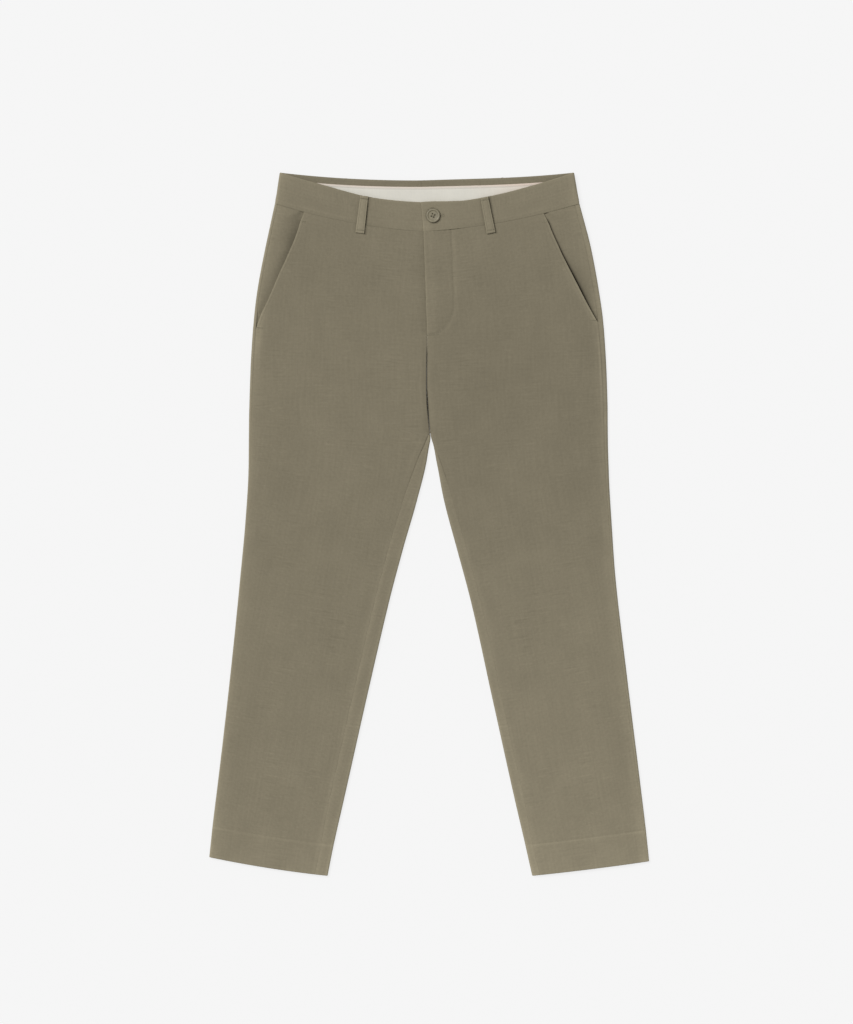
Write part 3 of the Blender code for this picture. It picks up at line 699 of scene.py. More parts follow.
def declare(outer, uv):
    """Works out the flat piece of cloth, its size along and across the grain and its area, but does not use
    them.

    The area is measured on the draped cloth, so it is kept just below that of the flat size.
    """
    width, length = (round(max(float(np.ptp(uv[..., axis])) * MM, SMALLEST_FLAT), 4) for axis in (0, 1))
    area = min(face_area(outer), 0.999 * width * length)


def tone_at(x, downs):
    """A tone over the garment, which changes down the legs and from side to side."""
    table = np.array(TONES, float)
    right, left = (monotone(downs, table[:, 0], table[:, column]) for column in (1, 2))
    return right + (left - right) * smooth((x + 40) / 80)


def cut_and_sew(name, cloth, uv, slot_materials, replaced, flip):
    outer, inner = cloth.faces()
    marks = {
        "seam": np.clip(cloth.seam, 0, 1.2),
        "worn": np.clip(cloth.worn, -1, 1),
        "shade": np.clip(cloth.shade, 0, 1),
        "tone": cloth.tone * cloth.glow() * tone_at(cloth.base[..., 0], LENGTH / 2 - cloth.base[..., 1]),
    }
    mesh = sheet_mesh(name, outer, inner, uv, marks, flip)
    piece = add_piece(name, mesh, slot_materials, replaced)
    declare(outer, uv)
    return piece


# Materials.


def linear(hex_colour):
    """An sRGB hex colour as linear red, green and blue."""
    channels = [int(hex_colour[i : i + 2], 16) / 255 for i in (1, 3, 5)]
    return tuple(c / 12.92 if c <= 0.04045 else ((c + 0.055) / 1.055) ** 2.4 for c in channels)


def set_inputs(node, inputs):
    """Links each input that comes with a socket, and sets the others."""
    for name, value in inputs.items():
        if isinstance(value, bpy.types.NodeSocket):
            node.id_data.links.new(value, node.inputs[name])
        else:
            node.inputs[name].default_value = value


def add_node(tree, kind, inputs, output=0, **settings):
    """Adds a node with its settings and inputs, and gives one of its outputs."""
    made = tree.nodes.new("ShaderNode" + kind)
    for name, value in settings.items():
        setattr(made, name, value)
    set_inputs(made, inputs)
    return made.outputs[output]


def new_material(name, on_cloth=True):
    """A material, its node tree and shader, and its pieces' coordinates: along the cloth or in space."""
    made = bpy.data.materials.new(name)
    made.use_nodes = True
    tree = made.node_tree
    if on_cloth:
        place = add_node(tree, "UVMap", {}, uv_map="Cloth")
    else:
        place = add_node(tree, "TexCoord", {}, "Object")
    return made, tree, tree.nodes["Principled BSDF"], place


def noises(tree, place, rows):
    """Soft random patterns, from 0 to 1: (repeats a metre in each direction, detail, roughness)."""
    for scale, detail, roughness in rows:
        stretched = add_node(tree, "Mapping", {"Vector": place, "Scale": scale})
        inputs = {"Vector": stretched, "Scale": 1.0, "Detail": detail, "Roughness": roughness}
        yield add_node(tree, "TexNoise", inputs)


def tinted(tree, colour, rows):
    """The colour, darker and paler by each pattern: (pattern, from, to, darkest, palest)."""
    total, *factors = [add_node(tree, "MapRange", dict(enumerate(row))) for row in rows]
    for factor in factors:
        total = add_node(tree, "Math", {0: total, 1: factor}, operation="MULTIPLY")
    if not isinstance(colour, bpy.types.NodeSocket):
        colour = add_node(tree, "CombineXYZ", dict(enumerate(colour)))
    return add_node(tree, "VectorMath", {0: colour, "Scale": total}, operation="SCALE")


def corduroy(colour, wale, wrong_side=False):
    """Fine-wale cotton corduroy, piece-dyed, with its pile brushed and sheared short.

    The pile is matt and takes light at a slant. The wales are too fine for the photograph to show, so
    they are drawn about half as coarse again as a needlecord's 1.1 mm, and faint. What does show are
    the slubs of its filling yarn: short pale and dark streaks across the leg.
    """
    made, tree, shader, cloth = new_material("Corduroy wrong side" if wrong_side else "Corduroy pile")
    slub_size, streak_size, fuzz_size, grain_size = (30, 2.4), (2.6, 60), (0.7, 0.9), (4.5, 3.5)  # mm
    slub_scale, streak_scale, fuzz_scale, grain_scale = (
        (1 / (across * MM), 1 / (along * MM), 1.0)
        for across, along in (slub_size, streak_size, fuzz_size, grain_size)
    )
    rows = [
        ((24.0, 20.0, 1.0), 3.0, 0.5),
        ((6.0, 5.0, 1.0), 1.0, 0.5),
        ((15.0, 12.0, 1.0), 2.0, 0.5),
        (slub_scale, 1.0, 0.4),
        (streak_scale, 1.0, 0.5),
        (fuzz_scale, 2.0, 0.6),
        (grain_scale, 2.0, 0.7),
    ]
    mottle, bloom, patches, slub, warp_streak, fuzz, grain = noises(tree, cloth, rows)
    inputs = {"Vector": cloth, "Scale": WAVE_REPEAT / wale, "Distortion": 0.3}
    inputs.update({"Detail": 1.0, "Detail Scale": 3.0})
    way = "Y" if wrong_side else "X"
    wales = add_node(tree, "TexWave", inputs, "Fac", wave_type="BANDS", bands_direction=way)
    marks = ("seam", "worn", "shade", "tone")
    seam, worn, shade, tone = (
        add_node(tree, "Attribute", {}, "Fac", attribute_name=mark) for mark in marks
    )
    rows = [(slub, 0.57, 0.74, 0.0, 1.0), (slub, 0.43, 0.26, 0.0, 1.0), (patches, 0.4, 0.65, 0.15, 1.0)]
    pale, dark, patchy = (add_node(tree, "MapRange", dict(enumerate(row))) for row in rows)
    slubs = add_node(tree, "Math", {0: pale, 1: dark}, operation="SUBTRACT")
    slubs = add_node(tree, "Math", {0: slubs, 1: patchy}, operation="MULTIPLY")
    height = add_node(tree, "Math", {0: slub, 1: wales}, operation="ADD")
    height = add_node(tree, "Math", {0: fuzz, 1: 0.7, 2: height}, operation="MULTIPLY_ADD")
    bump = {"Strength": 0.45, "Distance": 0.25 * MM, "Height": height}
    factors = [
        (mottle, 0.3, 0.7, 0.965, 1.035),
        (bloom, 0.3, 0.7, 0.975, 1.025),
        (slubs, -1.0, 1.0, 0.925, 1.075),
        (grain, 0.3, 0.7, 0.955, 1.045),
        (warp_streak, 0.3, 0.7, 0.975, 1.025),
        (fuzz, 0.25, 0.75, 0.95, 1.05),
        (wales, 0.0, 1.0, 0.93, 1.045),
        (seam, 0.0, 1.0, 1.0, 0.8),
        # wear pales worn edges and where negative is painted shade; shade is painted shade; tone holds
        # painted highlights and shade too
        (worn, -1.0, 1.0, 0.88, 1.12),
        (shade, 0.0, 1.0, 1.0, 0.04),
        (tone, 0.0, 10.0, 0.0, 10.0),  # as it is
    ]
    looks = {
        "Base Color": tinted(tree, colour, factors),
        "Roughness": add_node(tree, "MapRange", {0: slub, 1: 0.3, 2: 0.7, 3: 0.96, 4: 0.84}),
        "Normal": add_node(tree, "Bump", bump),
        "Specular IOR Level": 0.05,
        "Specular Tint": (*linear("#d8c49c"), 1.0),
        "Sheen Weight": 0.045,
        "Sheen Roughness": 0.45,
        "Sheen Tint": (*linear("#cdbf9f"), 1.0),
    }
    set_inputs(shader, looks)
    return made


def cotton_lining(colour):
    """Bleached plain-weave cotton: flat and dry, with a fine even thread and a faint warm edge."""
    made, tree, shader, cloth = new_material("Cotton waistband lining")
    thread = 0.9 * MM  # drawn at twice its real spacing, so that a close view shows it
    inputs = {"Vector": cloth, "Scale": WAVE_REPEAT / thread, "Distortion": 0.4, "Detail": 1.0}
    warp, weft = (
        add_node(tree, "TexWave", inputs, "Fac", wave_type="BANDS", bands_direction=way) for way in "XY"
    )
    crossing = add_node(tree, "Math", {0: warp, 1: weft}, operation="ADD")
    rows = [((22.0, 40.0, 1.0), 2.0, 0.5), ((900.0, 60.0, 1.0), 2.0, 0.5)]
    mottle, slub = noises(tree, cloth, rows)
    marks = ("seam", "blush")
    seam, blush = (add_node(tree, "Attribute", {}, "Fac", attribute_name=mark) for mark in marks)
    plain, warm = (add_node(tree, "CombineXYZ", dict(enumerate(c))) for c in (colour, linear("#d3c3b6")))
    mixed = add_node(tree, "Mix", {"Factor": blush, 4: plain, 5: warm}, 1, data_type="VECTOR")
    factors = [
        (mottle, 0.3, 0.7, 0.975, 1.025),
        (slub, 0.3, 0.7, 0.98, 1.02),
        (crossing, 0.0, 2.0, 0.985, 1.01),
        (seam, 0.0, 1.0, 1.0, 0.86),
    ]
    looks = {
        "Base Color": tinted(tree, mixed, factors),
        "Normal": add_node(tree, "Bump", {"Strength": 0.2, "Distance": 0.3 * MM, "Height": crossing}),
        "Roughness": 0.92,
        "Specular IOR Level": 0.25,
    }
    set_inputs(shader, looks)
    return made


def polyester_thread(colour):
    """Spun polyester sewing thread, dyed to match: a little paler and glossier than the pile."""
    made, tree, shader, place = new_material("Polyester sewing thread", on_cloth=False)
    (twist,) = noises(tree, place, [((3000.0, 3000.0, 3000.0), 1.0, 0.5)])
    looks = {
        "Base Color": tinted(tree, colour, [(twist, 0.3, 0.7, 0.9, 1.1)]),
        "Normal": add_node(tree, "Bump", {"Strength": 0.3, "Distance": 0.1 * MM, "Height": twist}),
        "Roughness": 0.62,
        "Specular IOR Level": 0.35,
    }
    set_inputs(shader, looks)
    return made


def polyester_resin(colour):
    """Cast polyester button, turned and tumbled: satin, with a cloudy dye and a faint grain."""
    made, tree, shader, place = new_material("Polyester resin button", on_cloth=False)
    rows = [((260.0, 110.0, 260.0), 3.0, 0.5), ((2200.0, 700.0, 2200.0), 2.0, 0.5)]
    cloud, grain = noises(tree, place, rows)
    looks = {
        "Base Color": tinted(tree, colour, [(cloud, 0.3, 0.7, 0.86, 1.14), (grain, 0.3, 0.7, 0.96, 1.04)]),
        "Roughness": add_node(tree, "MapRange", {0: grain, 1: 0.3, 2: 0.7, 3: 0.36, 4: 0.5}),
    }
    set_inputs(shader, looks)
    return made


def studio_floor(colour):
    """Matt translucent board, pale and plain, lit from below a little so that shadows stay faint."""
    made, tree, shader, place = new_material("Matt lit board", on_cloth=False)
    (cloud,) = noises(tree, place, [((1.5, 1.5, 1.5), 2.0, 0.5)])
    looks = {
        "Base Color": tinted(tree, colour, [(cloud, 0.3, 0.7, 0.998, 1.002)]),
        "Roughness": 1.0,
        "Specular IOR Level": 0.0,
        "Emission Color": (1.0, 1.0, 1.0, 1.0),
        "Emission Strength": 0.792,
    }
    set_inputs(shader, looks)
    return made


MAKERS = {  # by the name of the colour that each is made in
    "lining": ("Cotton waistband lining", cotton_lining),
    "thread": ("Polyester sewing thread", polyester_thread),
    "button": ("Polyester resin button", polyester_resin),
    "floor": ("Matt lit board", studio_floor),
}


def finished(context, part):
    """The part's material, made the first time that a piece asks for it."""
    name, make = MAKERS[part]
    return bpy.data.materials.get(name) or make(tuple(getattr(context.scene.trousers_colours, part)))


def corduroy_faces(context):
    """The pile for a panel's outer face, and the cloth's wrong side for its inner face."""
    made = [bpy.data.materials.get(name) for name in ("Corduroy pile", "Corduroy wrong side")]
    if None not in made:
        return made
    colour, wale = tuple(context.scene.trousers_colours.corduroy), context.scene.trousers_sizes.wale
    return [corduroy(colour, wale), corduroy(tuple(0.82 * c for c in colour), wale, wrong_side=True)]


# Pieces.


def leg_places(top_down):
    """Rows of a panel, close together at the waist seam, the fly's foot, the hem's stitching and hem."""
    beds = seam_bed(top_down) + [
        (DOWN["fly end"] - 5, 1.1, 10.0),
        (DOWN["crotch"] - 2, 1.6, 5.0),
        (DOWN["hem stitching"], 1.0, 4.0),
        (DOWN["hem"], 0.9, 3.0),
    ]
    return edged(top_down, DOWN["hem"], HEM / 2, PANEL_ROWS, beds, 4.4)


def leg_cloth(half, ends, beds, coarse):
    """A panel's cloth, from the waist seam to the hem: `ends` and `beds` say where its rows run."""
    sections = leg_sections(leg_places(PANEL_TOP), half)
    arcs = []
    for section in sections:
        start, end = ends(section)
        places = seam_bed(start) + seam_bed(end) + beds(section, start, end)
        arcs.append(edged(start, end, SEAM_RUN, PANEL_COLUMNS, places, coarse))
    # The cloth is thicker once the hem's turned-up allowance lies behind it.
    downs = np.array([[section.row.outer_down] for section in sections])
    turned_up = smooth((downs - DOWN["hem stitching"] + 1.0) / 2.0)
    return Cloth(sections, arcs, CLOTH + (HEM - CLOTH) * turned_up)


def end_edges(cloth, half):
    """The waist seam above a panel, the hem's fold below it, and the hem's blind stitching."""
    from_stitching = cloth.downs - DOWN["hem stitching"]
    cloth.sewn_edge(cloth.downs - PANEL_TOP, half.waist_seam, allowance=False)
    cloth.folded_edge(DOWN["hem"] - cloth.downs, run=HEM / 2, depth=HEM / 2 - 0.1)
    patchy = cloth.uneven(17.0, 19, 0.3, 1.15)
    flat = smooth(cloth.from_folds / 12.0)
    cloth.press += flat * (0.3 * groove(from_stitching, 1.4) - 0.16 * smooth(from_stitching / 4.0))
    cloth.worn += 0.8 * patchy * groove(from_stitching - 1.2, 1.9)
    cloth.worn += 0.35 * cloth.uneven(13.0, 23, -0.6, 1.0) * smooth(from_stitching / 5.0)


def fly_line(section):
    """How far the fly's topstitching is from the middle on this section, or nothing past its foot."""
    below = section.row.outer_down - (FLY_FOOT - FLY_CURVE)
    return FLY_WIDTH * math.sqrt(max(1 - (max(below, 0.0) / FLY_CURVE) ** 2, 0.0))


def fly_path(half):
    """Points along the fly's topstitching, from the waist seam to the fly's foot."""
    turns = np.linspace(0, math.pi / 2, 26)
    straight = np.linspace(DOWN["waist seam"] + 1.0, FLY_FOOT - FLY_CURVE, 14)[:-1]
    downs = np.concatenate([straight, FLY_FOOT - FLY_CURVE + FLY_CURVE * np.sin(turns)])
    places = np.concatenate([np.full(len(straight), FLY_WIDTH), FLY_WIDTH * np.cos(turns)])
    return np.array([s.points(place)[0][:2] for s, place in zip(leg_sections(downs, half), places)])


def ways(start, end):
    """Unit vectors along a line in XY and to its left, and its length."""
    length = float(np.linalg.norm(end - start))
    way = (end - start) / length
    return way, np.array([-way[1], way[0]]), length


def distance_to_path(points, path):
    """How far each point is from a polyline, both in XY."""
    nearest = np.full(points.shape[:-1], np.inf)
    for start, end in zip(path, path[1:]):
        along = end - start
        share = np.clip(((points - start) @ along) / (along @ along), 0, 1)
        away = points - start - share[..., None] * along
        nearest = np.minimum(nearest, np.hypot(away[..., 0], away[..., 1]))
    return nearest


def gape(half, downs):
    """How far the pocket mouth stands open, as a share, at these distances down."""
    top, end = slit_span(half)
    share = np.clip((downs - top) / (end - top), 0, 1)
    return np.sin(math.pi * share**half.gape_low) ** 2


def loop_ends(half, from_middle, on_front):
    """The middle of a belt loop's head and of its foot, on the cloth."""
    sections = [band_section(share, half) for share in (0, 1 + LOOP_BELOW_SEAM / BAND_HEIGHT)]
    return [s.points(out if on_front else s.length - out)[0] for s, out in zip(sections, from_middle)]


def beside_loop(cloth, half):
    """Painted shade along both sides of the front belt loop, and a painted shadow on its left side."""
    head, foot = (end[:2] for end in loop_ends(half, (half.loop_head, half.loop_foot), True))
    spots = cloth.base[..., :2]
    away = distance_to_path(spots, [head, foot]) - LOOP_HEAD_WIDTH / 2
    way, off = foot - head, spots - head
    on_left = way[0] * off[..., 1] - way[1] * off[..., 0] > 0
    along = (off @ way) / (way @ way)
    beside = smooth((along + 0.03) / 0.03) * smooth((1.03 - along) / 0.04)
    behind = half.loop_shade * on_left * groove(np.maximum(away - 0.4, 0), 0.9) * (away > -2)
    return (0.1 * groove(away - 1.1, 1.6) + behind) * beside * cloth.on_top


def inseam_depth(downs):
    """How deep the inseam's groove is: nothing where the four panels meet, and less down the leg."""
    return (1 - groove(downs - 332, 5.0)) * (1 - 0.75 * smooth((downs - 372) / 60))


# Where a mark is stronger beside an edge, as the photograph shows it: the shade accents are painted shade,
# and the tone accents painted highlights and shade. Columns: on which half ("" for both), how much, in which
# window along the edge, how far down it is strongest and over what run (0 all along), beside which edge,
# how far from it and how wide.
Accent = namedtuple("Accent", "half mark amount window down run edge off wide")
FRONT_ACCENTS = [
    Accent("", "shade", 0.14, "below slit", 255, 60, "end", 0, 0.8),
    Accent("left", "tone", 0.06, "inseam", 0, 0, "start", 1, 4),
    Accent("left", "tone", 0.06, "mouth", 0, 0, "end", 2, 5),
    Accent("left", "tone", 0.16, "low mouth", 0, 0, "end", 2, 5),
    Accent("left", "tone", 0.2, "below slit", 270, 75, "end", 2.2, 1.7),
    Accent("right", "tone", 0.1, "inseam", 0, 0, "start", 1, 4),
    Accent("right", "tone", 0.12, "mouth", 0, 0, "end", 1, 2.5),
    Accent("right", "tone", 0.2, "all", 234, 36, "end", 4, 5.5),
    Accent("right", "tone", -0.05, "fly", 0, 0, "middle", 3, 4.5),
    Accent("right", "shade", 0.06, "fly", 0, 0, "middle", 0.8, 0.9),
    Accent("right", "rise", -0.7, "beside fly", 0, 0, "middle", 1, 5.5),
    Accent("right", "shade", 0.3, "crotch point", 0, 0, "start", 0, 1.2),
]
BACK_ACCENTS = [
    Accent("left", "tone", 0.06, "inseam", 0, 0, "end", 1, 4),
    Accent("left", "tone", 0.15, "top", 195, 34, "side", 0, 6),
    Accent("left", "tone", 0.13, "low side", 0, 0, "side", 0, 6),
    Accent("right", "tone", 0.1, "inseam", 0, 0, "end", 1, 4),
]


def window(downs, start, fade_in, end=1000.0, fade_out=1.0):
    """1 between two distances down, fading in from the start and out from the end."""
    return smooth((downs - start) / fade_in) * (1 - smooth((downs - end) / fade_out))


def accentuate(cloth, half, accents, windows):
    """Adds this half's accents to the cloth's marks."""
    windows = {"all": 1.0, "inseam": window(cloth.downs, 400, 140), **windows}
    edges = {"start": cloth.from_start, "end": cloth.from_end, "side": cloth.from_side, "middle": cloth.arcs}
    for one in accents:
        if one.half in ("", half.name):
            share = windows[one.window] * (groove(cloth.downs - one.down, one.run) if one.run else 1.0)
            mark = getattr(cloth, one.mark)
            mark += one.amount * share * groove(edges[one.edge] - one.off, one.wide)


def front_panel(half, amount):
    """The front: from the middle or the inseam to the pocket slit, and below it to the side seam."""

    def ends(section):
        start = section.inseam() + HALF_GAP
        if section.row.underlap and half.fly_layer < 0:
            start = -section.row.underlap
        end, slit = section.side_seam() - HALF_GAP, slit_distance(section.row, half)
        return start, end if slit is None else min(float(section.arc_from_fold(slit)), end)

    def beds(_, start, end):
        return [(end - SLIT_STITCH, 0.9, 2.5), (start + FLY_WIDTH, 1.3, 7.0)]

    cloth = leg_cloth(half, ends, beds, 5.2)
    downs, from_start, from_end = cloth.downs, cloth.from_start, cloth.from_end
    cloth.drape(amount)
    end_edges(cloth, half)
    at_seam = groove(downs - PANEL_TOP, 14.0)
    cloth.rise += at_seam * (0.3 + 0.45 * (half.fly_layer > 0) * groove(from_start, 70.0))
    below_slit = window(downs, slit_span(half)[1] - 3, 6)
    below_fly = window(downs, DOWN["fly end"] - 6, 6)
    cloth.sewn_edge(from_end, 0.5 * below_slit)
    cloth.folded_edge(from_end, 1 - below_slit)
    in_mouth = window(downs, PANEL_TOP + 4, 6) * (1 - below_slit)
    cloth.stitched_line(from_end - SLIT_STITCH, in_mouth * half.mouth_stitch, 0.4)
    cloth.press -= half.mouth_edge * in_mouth * (1 - smooth((from_end - SLIT_STITCH + 1.2) / 2.4))
    cloth.rise += MOUTH_LIFT * half.mouth_lift * gape(half, downs) * groove(from_end, 11.0)
    cloth.sewn_edge(from_start, below_fly * inseam_depth(downs))
    if half.fly_layer > 0:
        cloth.folded_edge(from_start, 1 - below_fly)
        from_fly = distance_to_path(cloth.base[..., :2], fly_path(half))
        cloth.stitched_line(from_fly, 1.0, 0.28)
        inside = np.array([[fly_line(section)] for section in cloth.sections])
        cloth.worn += 0.6 * groove(from_fly - 3.6, 2.2) * (from_start > inside) * (inside > 0)
        cloth.press -= 0.12 * smooth((inside - from_start) / 4.0) * (inside > 0)
        cloth.press -= 0.3 * groove(from_start - 3.0, 3.0) * (1 - below_fly)
        # Painted highlight on the strip beside the fly's raised edge.
        cloth.tone += 0.055 * (1 - smooth((from_start - 9.0) / 7)) * (1 - below_fly)
    # Painted shadow down the middle seam's valley above the crotch, deepest at its middle.
    deep = groove(downs - 300, 13.0)
    in_crotch = window(downs, 231, 14, 324, 8)
    cloth.shade += (0.9 + 0.3 * deep) * in_crotch * groove(from_start, 0.8 + 0.35 * deep)
    windows = {
        "mouth": in_mouth,
        "low mouth": in_mouth * window(downs, 110, 60),
        "below slit": below_slit,
        "fly": 1 - below_fly,
        "beside fly": window(downs, 90, 40, DOWN["fly end"] + 20, 30),
        "crotch point": window(downs, 324, 8, 350, 22),
    }
    accentuate(cloth, half, FRONT_ACCENTS, windows)
    cloth.shade += beside_loop(cloth, half)
    return cloth, cloth.grain()


def back_panel(half, amount):
    """The back: from the side seam round the outer fold, underneath, and round the inner fold."""

    def ends(section):
        return section.side_seam() + HALF_GAP, section.length + section.inseam() - HALF_GAP

    def beds(section, *_):
        return [(section.fold, 0.8, 6.0), (section.length, 0.8, 6.0)]

    cloth = leg_cloth(half, ends, beds, 6.5)
    cloth.drape(amount)
    end_edges(cloth, half)
    cloth.sewn_edge(cloth.from_start, 0.5)
    cloth.sewn_edge(cloth.from_end, inseam_depth(cloth.downs))
    cloth.tone += half.rolled_tone * smooth((cloth.arcs - cloth.lengths) / 3.0) * cloth.legs
    windows = {"top": 1.0 * cloth.on_top, "low side": window(cloth.downs, 265, 30, 340, 60) * cloth.on_top}
    accentuate(cloth, half, BACK_ACCENTS, windows)
    return cloth, cloth.grain(below=True)


def pocket_facing(half, amount):
    """The cloth behind the pocket slit: level with the side seam, one cloth lower at the slit."""
    bottom = slit_span(half)[1] + FACING_PAST_SLIT
    sections = leg_sections(edged(PANEL_TOP, bottom, SEAM_RUN, FACING_ROWS, seam_bed(PANEL_TOP), 3.0), half)
    arcs, sinks, sides, slits = [], [], [], []
    for section in sections:
        side = half.side_seam * section.row.side_seam + HALF_GAP
        slit = slit_distance(section.row, half)
        slit = side if slit is None else max(slit, side)
        shown = slit - side
        openness = smooth((shown - 1.0) / 8.0)
        beds = seam_bed(side) + [(slit, 0.8, 5.0)]
        places = spread(side, slit + FACING_UNDER_FRONT, FACING_COLUMNS, beds, 2.2)
        held_up = 0.8 * groove(section.row.outer_down - PANEL_TOP, 16.0)
        dipped = ((places - side) / max(shown, 0.1) - held_up) / (0.95 - held_up)
        sinks.append(FACING_STEP * (1 - openness * (1 - smooth(dipped))))
        arcs.append(section.arc_from_fold(places))
        sides.append(places - side)
        slits.append(places - slit)
    cloth = Cloth(sections, arcs, CLOTH, np.array(sinks))
    downs, from_side, from_slit = cloth.downs, np.array(sides), np.array(slits)
    outside = np.minimum(from_slit, 0)
    cloth.drape(amount)
    opening = gape(half, downs)
    cloth.rise += 0.3 * groove(downs - PANEL_TOP, 14.0)
    share = (downs - PANEL_TOP) / (slit_span(half)[1] - PANEL_TOP)
    in_mouth = smooth((share - 0.03) / 0.06) * smooth((1.02 - share) / 0.06)
    if half.side > 0:
        cloth.rise -= MOUTH_DIP * opening * groove(outside, 5.0)
        # Painted shade on the facing beside the slit, deeper where the mouth gapes and low down, and a
        # painted highlight along the side seam low on the mouth.
        cloth.worn -= (0.2 + 0.4 * opening) * groove(from_slit, 8.0)
        cloth.shade += (0.8 + 0.2 * opening) * in_mouth * groove(outside, 1.9 + 1.3 * opening)
        cloth.tone -= 0.15 * smooth((share - 0.35) / 0.25) * groove(from_slit, 20.0)
        cloth.tone += 0.16 * groove(downs - 188, 34.0) * groove(from_side, 5.0)
    else:
        cloth.rise -= MOUTH_DIP * opening * groove(outside, 9.0)
        # Painted shade on the facing beside the slit, deepest near the top.
        cloth.shade += (0.1 + 0.2 * opening) * in_mouth * groove(outside, 7.0)
        at_top = 1 - smooth((share - 0.2) / 0.16)
        cloth.tone += 0.07 - 0.15 * at_top * groove(from_slit + 6, 15.0)
    cloth.sewn_edge(from_side, 0.5)
    cloth.sewn_edge(downs - PANEL_TOP, 0.4, allowance=False)
    return cloth, cloth.grain()


def waistband(half, amount):
    """One half of the waistband, from its end at the fly round the side fold to the centre back."""
    tall = BAND_HEIGHT + BAND_UNDER_PANELS
    shares = edged(0, tall, BAND / 2, BAND_LINES, seam_bed(BAND_HEIGHT), 2.6) / BAND_HEIGHT
    sections = [band_section(share, half) for share in shares]
    arcs = []
    for section in sections:
        start = 0.0 if half.fly_layer > 0 else -section.row.underlap
        end = section.length - HALF_GAP
        beds = seam_bed(start) + seam_bed(end) + [(section.fold, 0.9, 7.0), (BUTTON_FROM_EDGE, 2.0, 14.0)]
        arcs.append(edged(start, end, BAND / 2, BAND_COLUMNS, beds, 4.6))
    cloth = Cloth(sections, arcs, BAND)
    from_start, from_top = cloth.from_start, cloth.downs
    from_seam = tall - from_top
    cloth.drape(0.5 * amount)
    cloth.press -= 0.14 * amount * unevenness(cloth.arcs + 300, from_top * 0.8 + 60, 17.0, 21 + half.side)
    show = cloth.uneven(24.0, 29, 0.0, 1.0) * half.band_wear
    cloth.press -= 0.22 * groove(from_seam - 6.0, 4.0)
    cloth.worn += 0.45 * show * groove(from_seam - 5.4, 1.5)
    cloth.folded_edge(from_top, run=BAND / 2, depth=BAND / 2 - 0.08)
    cloth.folded_edge(from_start, run=BAND / 2, depth=BAND / 2 - 0.2)
    cloth.sewn_edge(cloth.from_end, allowance=False)
    cloth.press += 0.3 * quarter(from_seam, 1.1)
    cloth.seam += (0.05 + 0.25 * show) * groove(from_seam, 0.9)
    cloth.tone += 0.09 * groove(np.minimum(cloth.arcs, cloth.folds) - 4.0, 58.0)
    if half.fly_layer > 0:
        cloth.tone += 0.08 * smooth((from_top - 22) / 9) * (1 - smooth((from_start - 7) / 8))
        spots, seat = cloth.base[..., :2], button_seat()[:2]
        from_button = np.linalg.norm(spots - seat, axis=-1)
        above = smooth((spots[..., 1] - seat[1]) / BUTTON_RADIUS)
        # Painted shadow round the button, darker above it.
        cloth.shade += (0.4 + 0.3 * above) * groove(from_button - BUTTON_RADIUS - 0.2, 0.7) * cloth.on_top
        hole = band_section(BUTTON_ACROSS_BAND, half).points(BUTTONHOLE)[:, :2]
        # Painted shade in the buttonhole's slit.
        cloth.shade += 0.2 * groove(distance_to_path(spots, hole), 0.8) * cloth.on_top
    cloth.shade += beside_loop(cloth, half)
    cloth.tone -= 0.12 * smooth((cloth.arcs - cloth.folds) / 15.0)  # darker past the side folds, on the back's inside
    return cloth, np.stack([from_top, cloth.arcs], axis=-1)


def curtain():
    """The light lining inside the back waistband: its two faces, cloth coordinates and marks."""
    belows = CURTAIN_BELOW_EDGE + edged(0, CURTAIN_HEIGHT, 0.5, 22, [(0, 0.7, 6.0)], 2.0)
    faces, across = [[], []], []
    for below in belows:
        halves = [band_section(below / BAND_HEIGHT, half) for half in HALVES]
        runs = [np.linspace(s.fold + CURTAIN_FROM_FOLD, s.length, 84) for s in halves]
        from_top = below - CURTAIN_BELOW_EDGE
        pucker = unevenness(runs[0] + 50, runs[0] * 0 + from_top * 0.6 + 40, 11.0, 31)
        rise = 0.12 * (pucker + groove(from_top - 1.8, 1.4)) - 0.45 * quarter(from_top, 0.5)
        rise = rise - 0.3 * groove(from_top - CURTAIN_STITCH, 0.9)
        for face, sink in zip(faces, (CURTAIN_SINK + rise, CURTAIN_SINK - LINING)):
            left, right = (s.points(run, sink) for s, run in zip(halves, runs))
            face.append(np.concatenate([left[:-1], right[::-1]]))
        left, right = (run - section.length for section, run in zip(halves, runs))
        across.append(np.concatenate([left[:-1], -right[::-1]]))
    from_top = (belows - CURTAIN_BELOW_EDGE)[:, None] + np.zeros_like(across)
    uv = np.stack([np.array(across), from_top], axis=-1)
    marks = {
        "seam": 0.7 * groove(from_top - CURTAIN_STITCH, 0.7) + 0.8 * groove(from_top, 0.8),
        "blush": np.clip(0.75 * groove(from_top, 2.6) + 0.5 * smooth((-uv[..., 0] - 60) / 100), 0, 1),
    }
    return *map(np.array, faces), uv, marks


# Height of a belt loop above the straight line from its head to its foot: (share of its length, height).
LOOP_RISE = [(0, 0.35), (0.08, 0.7), (0.14, 1), (0.5, 1.5), (0.76, 1.1), (0.86, 0.4), (0.94, 0), (1, -0.1)]


def loop_places():
    """Each belt loop's place, half, how far its ends are from the middle, and whether it is in front."""
    for half in HALVES:
        yield f"front_{half.name}", half, (half.loop_head, half.loop_foot), True
        yield f"back_{half.name}", half, BACK_LOOP, False
    yield "back_centre", LEFT, (0.0, 0.0), False


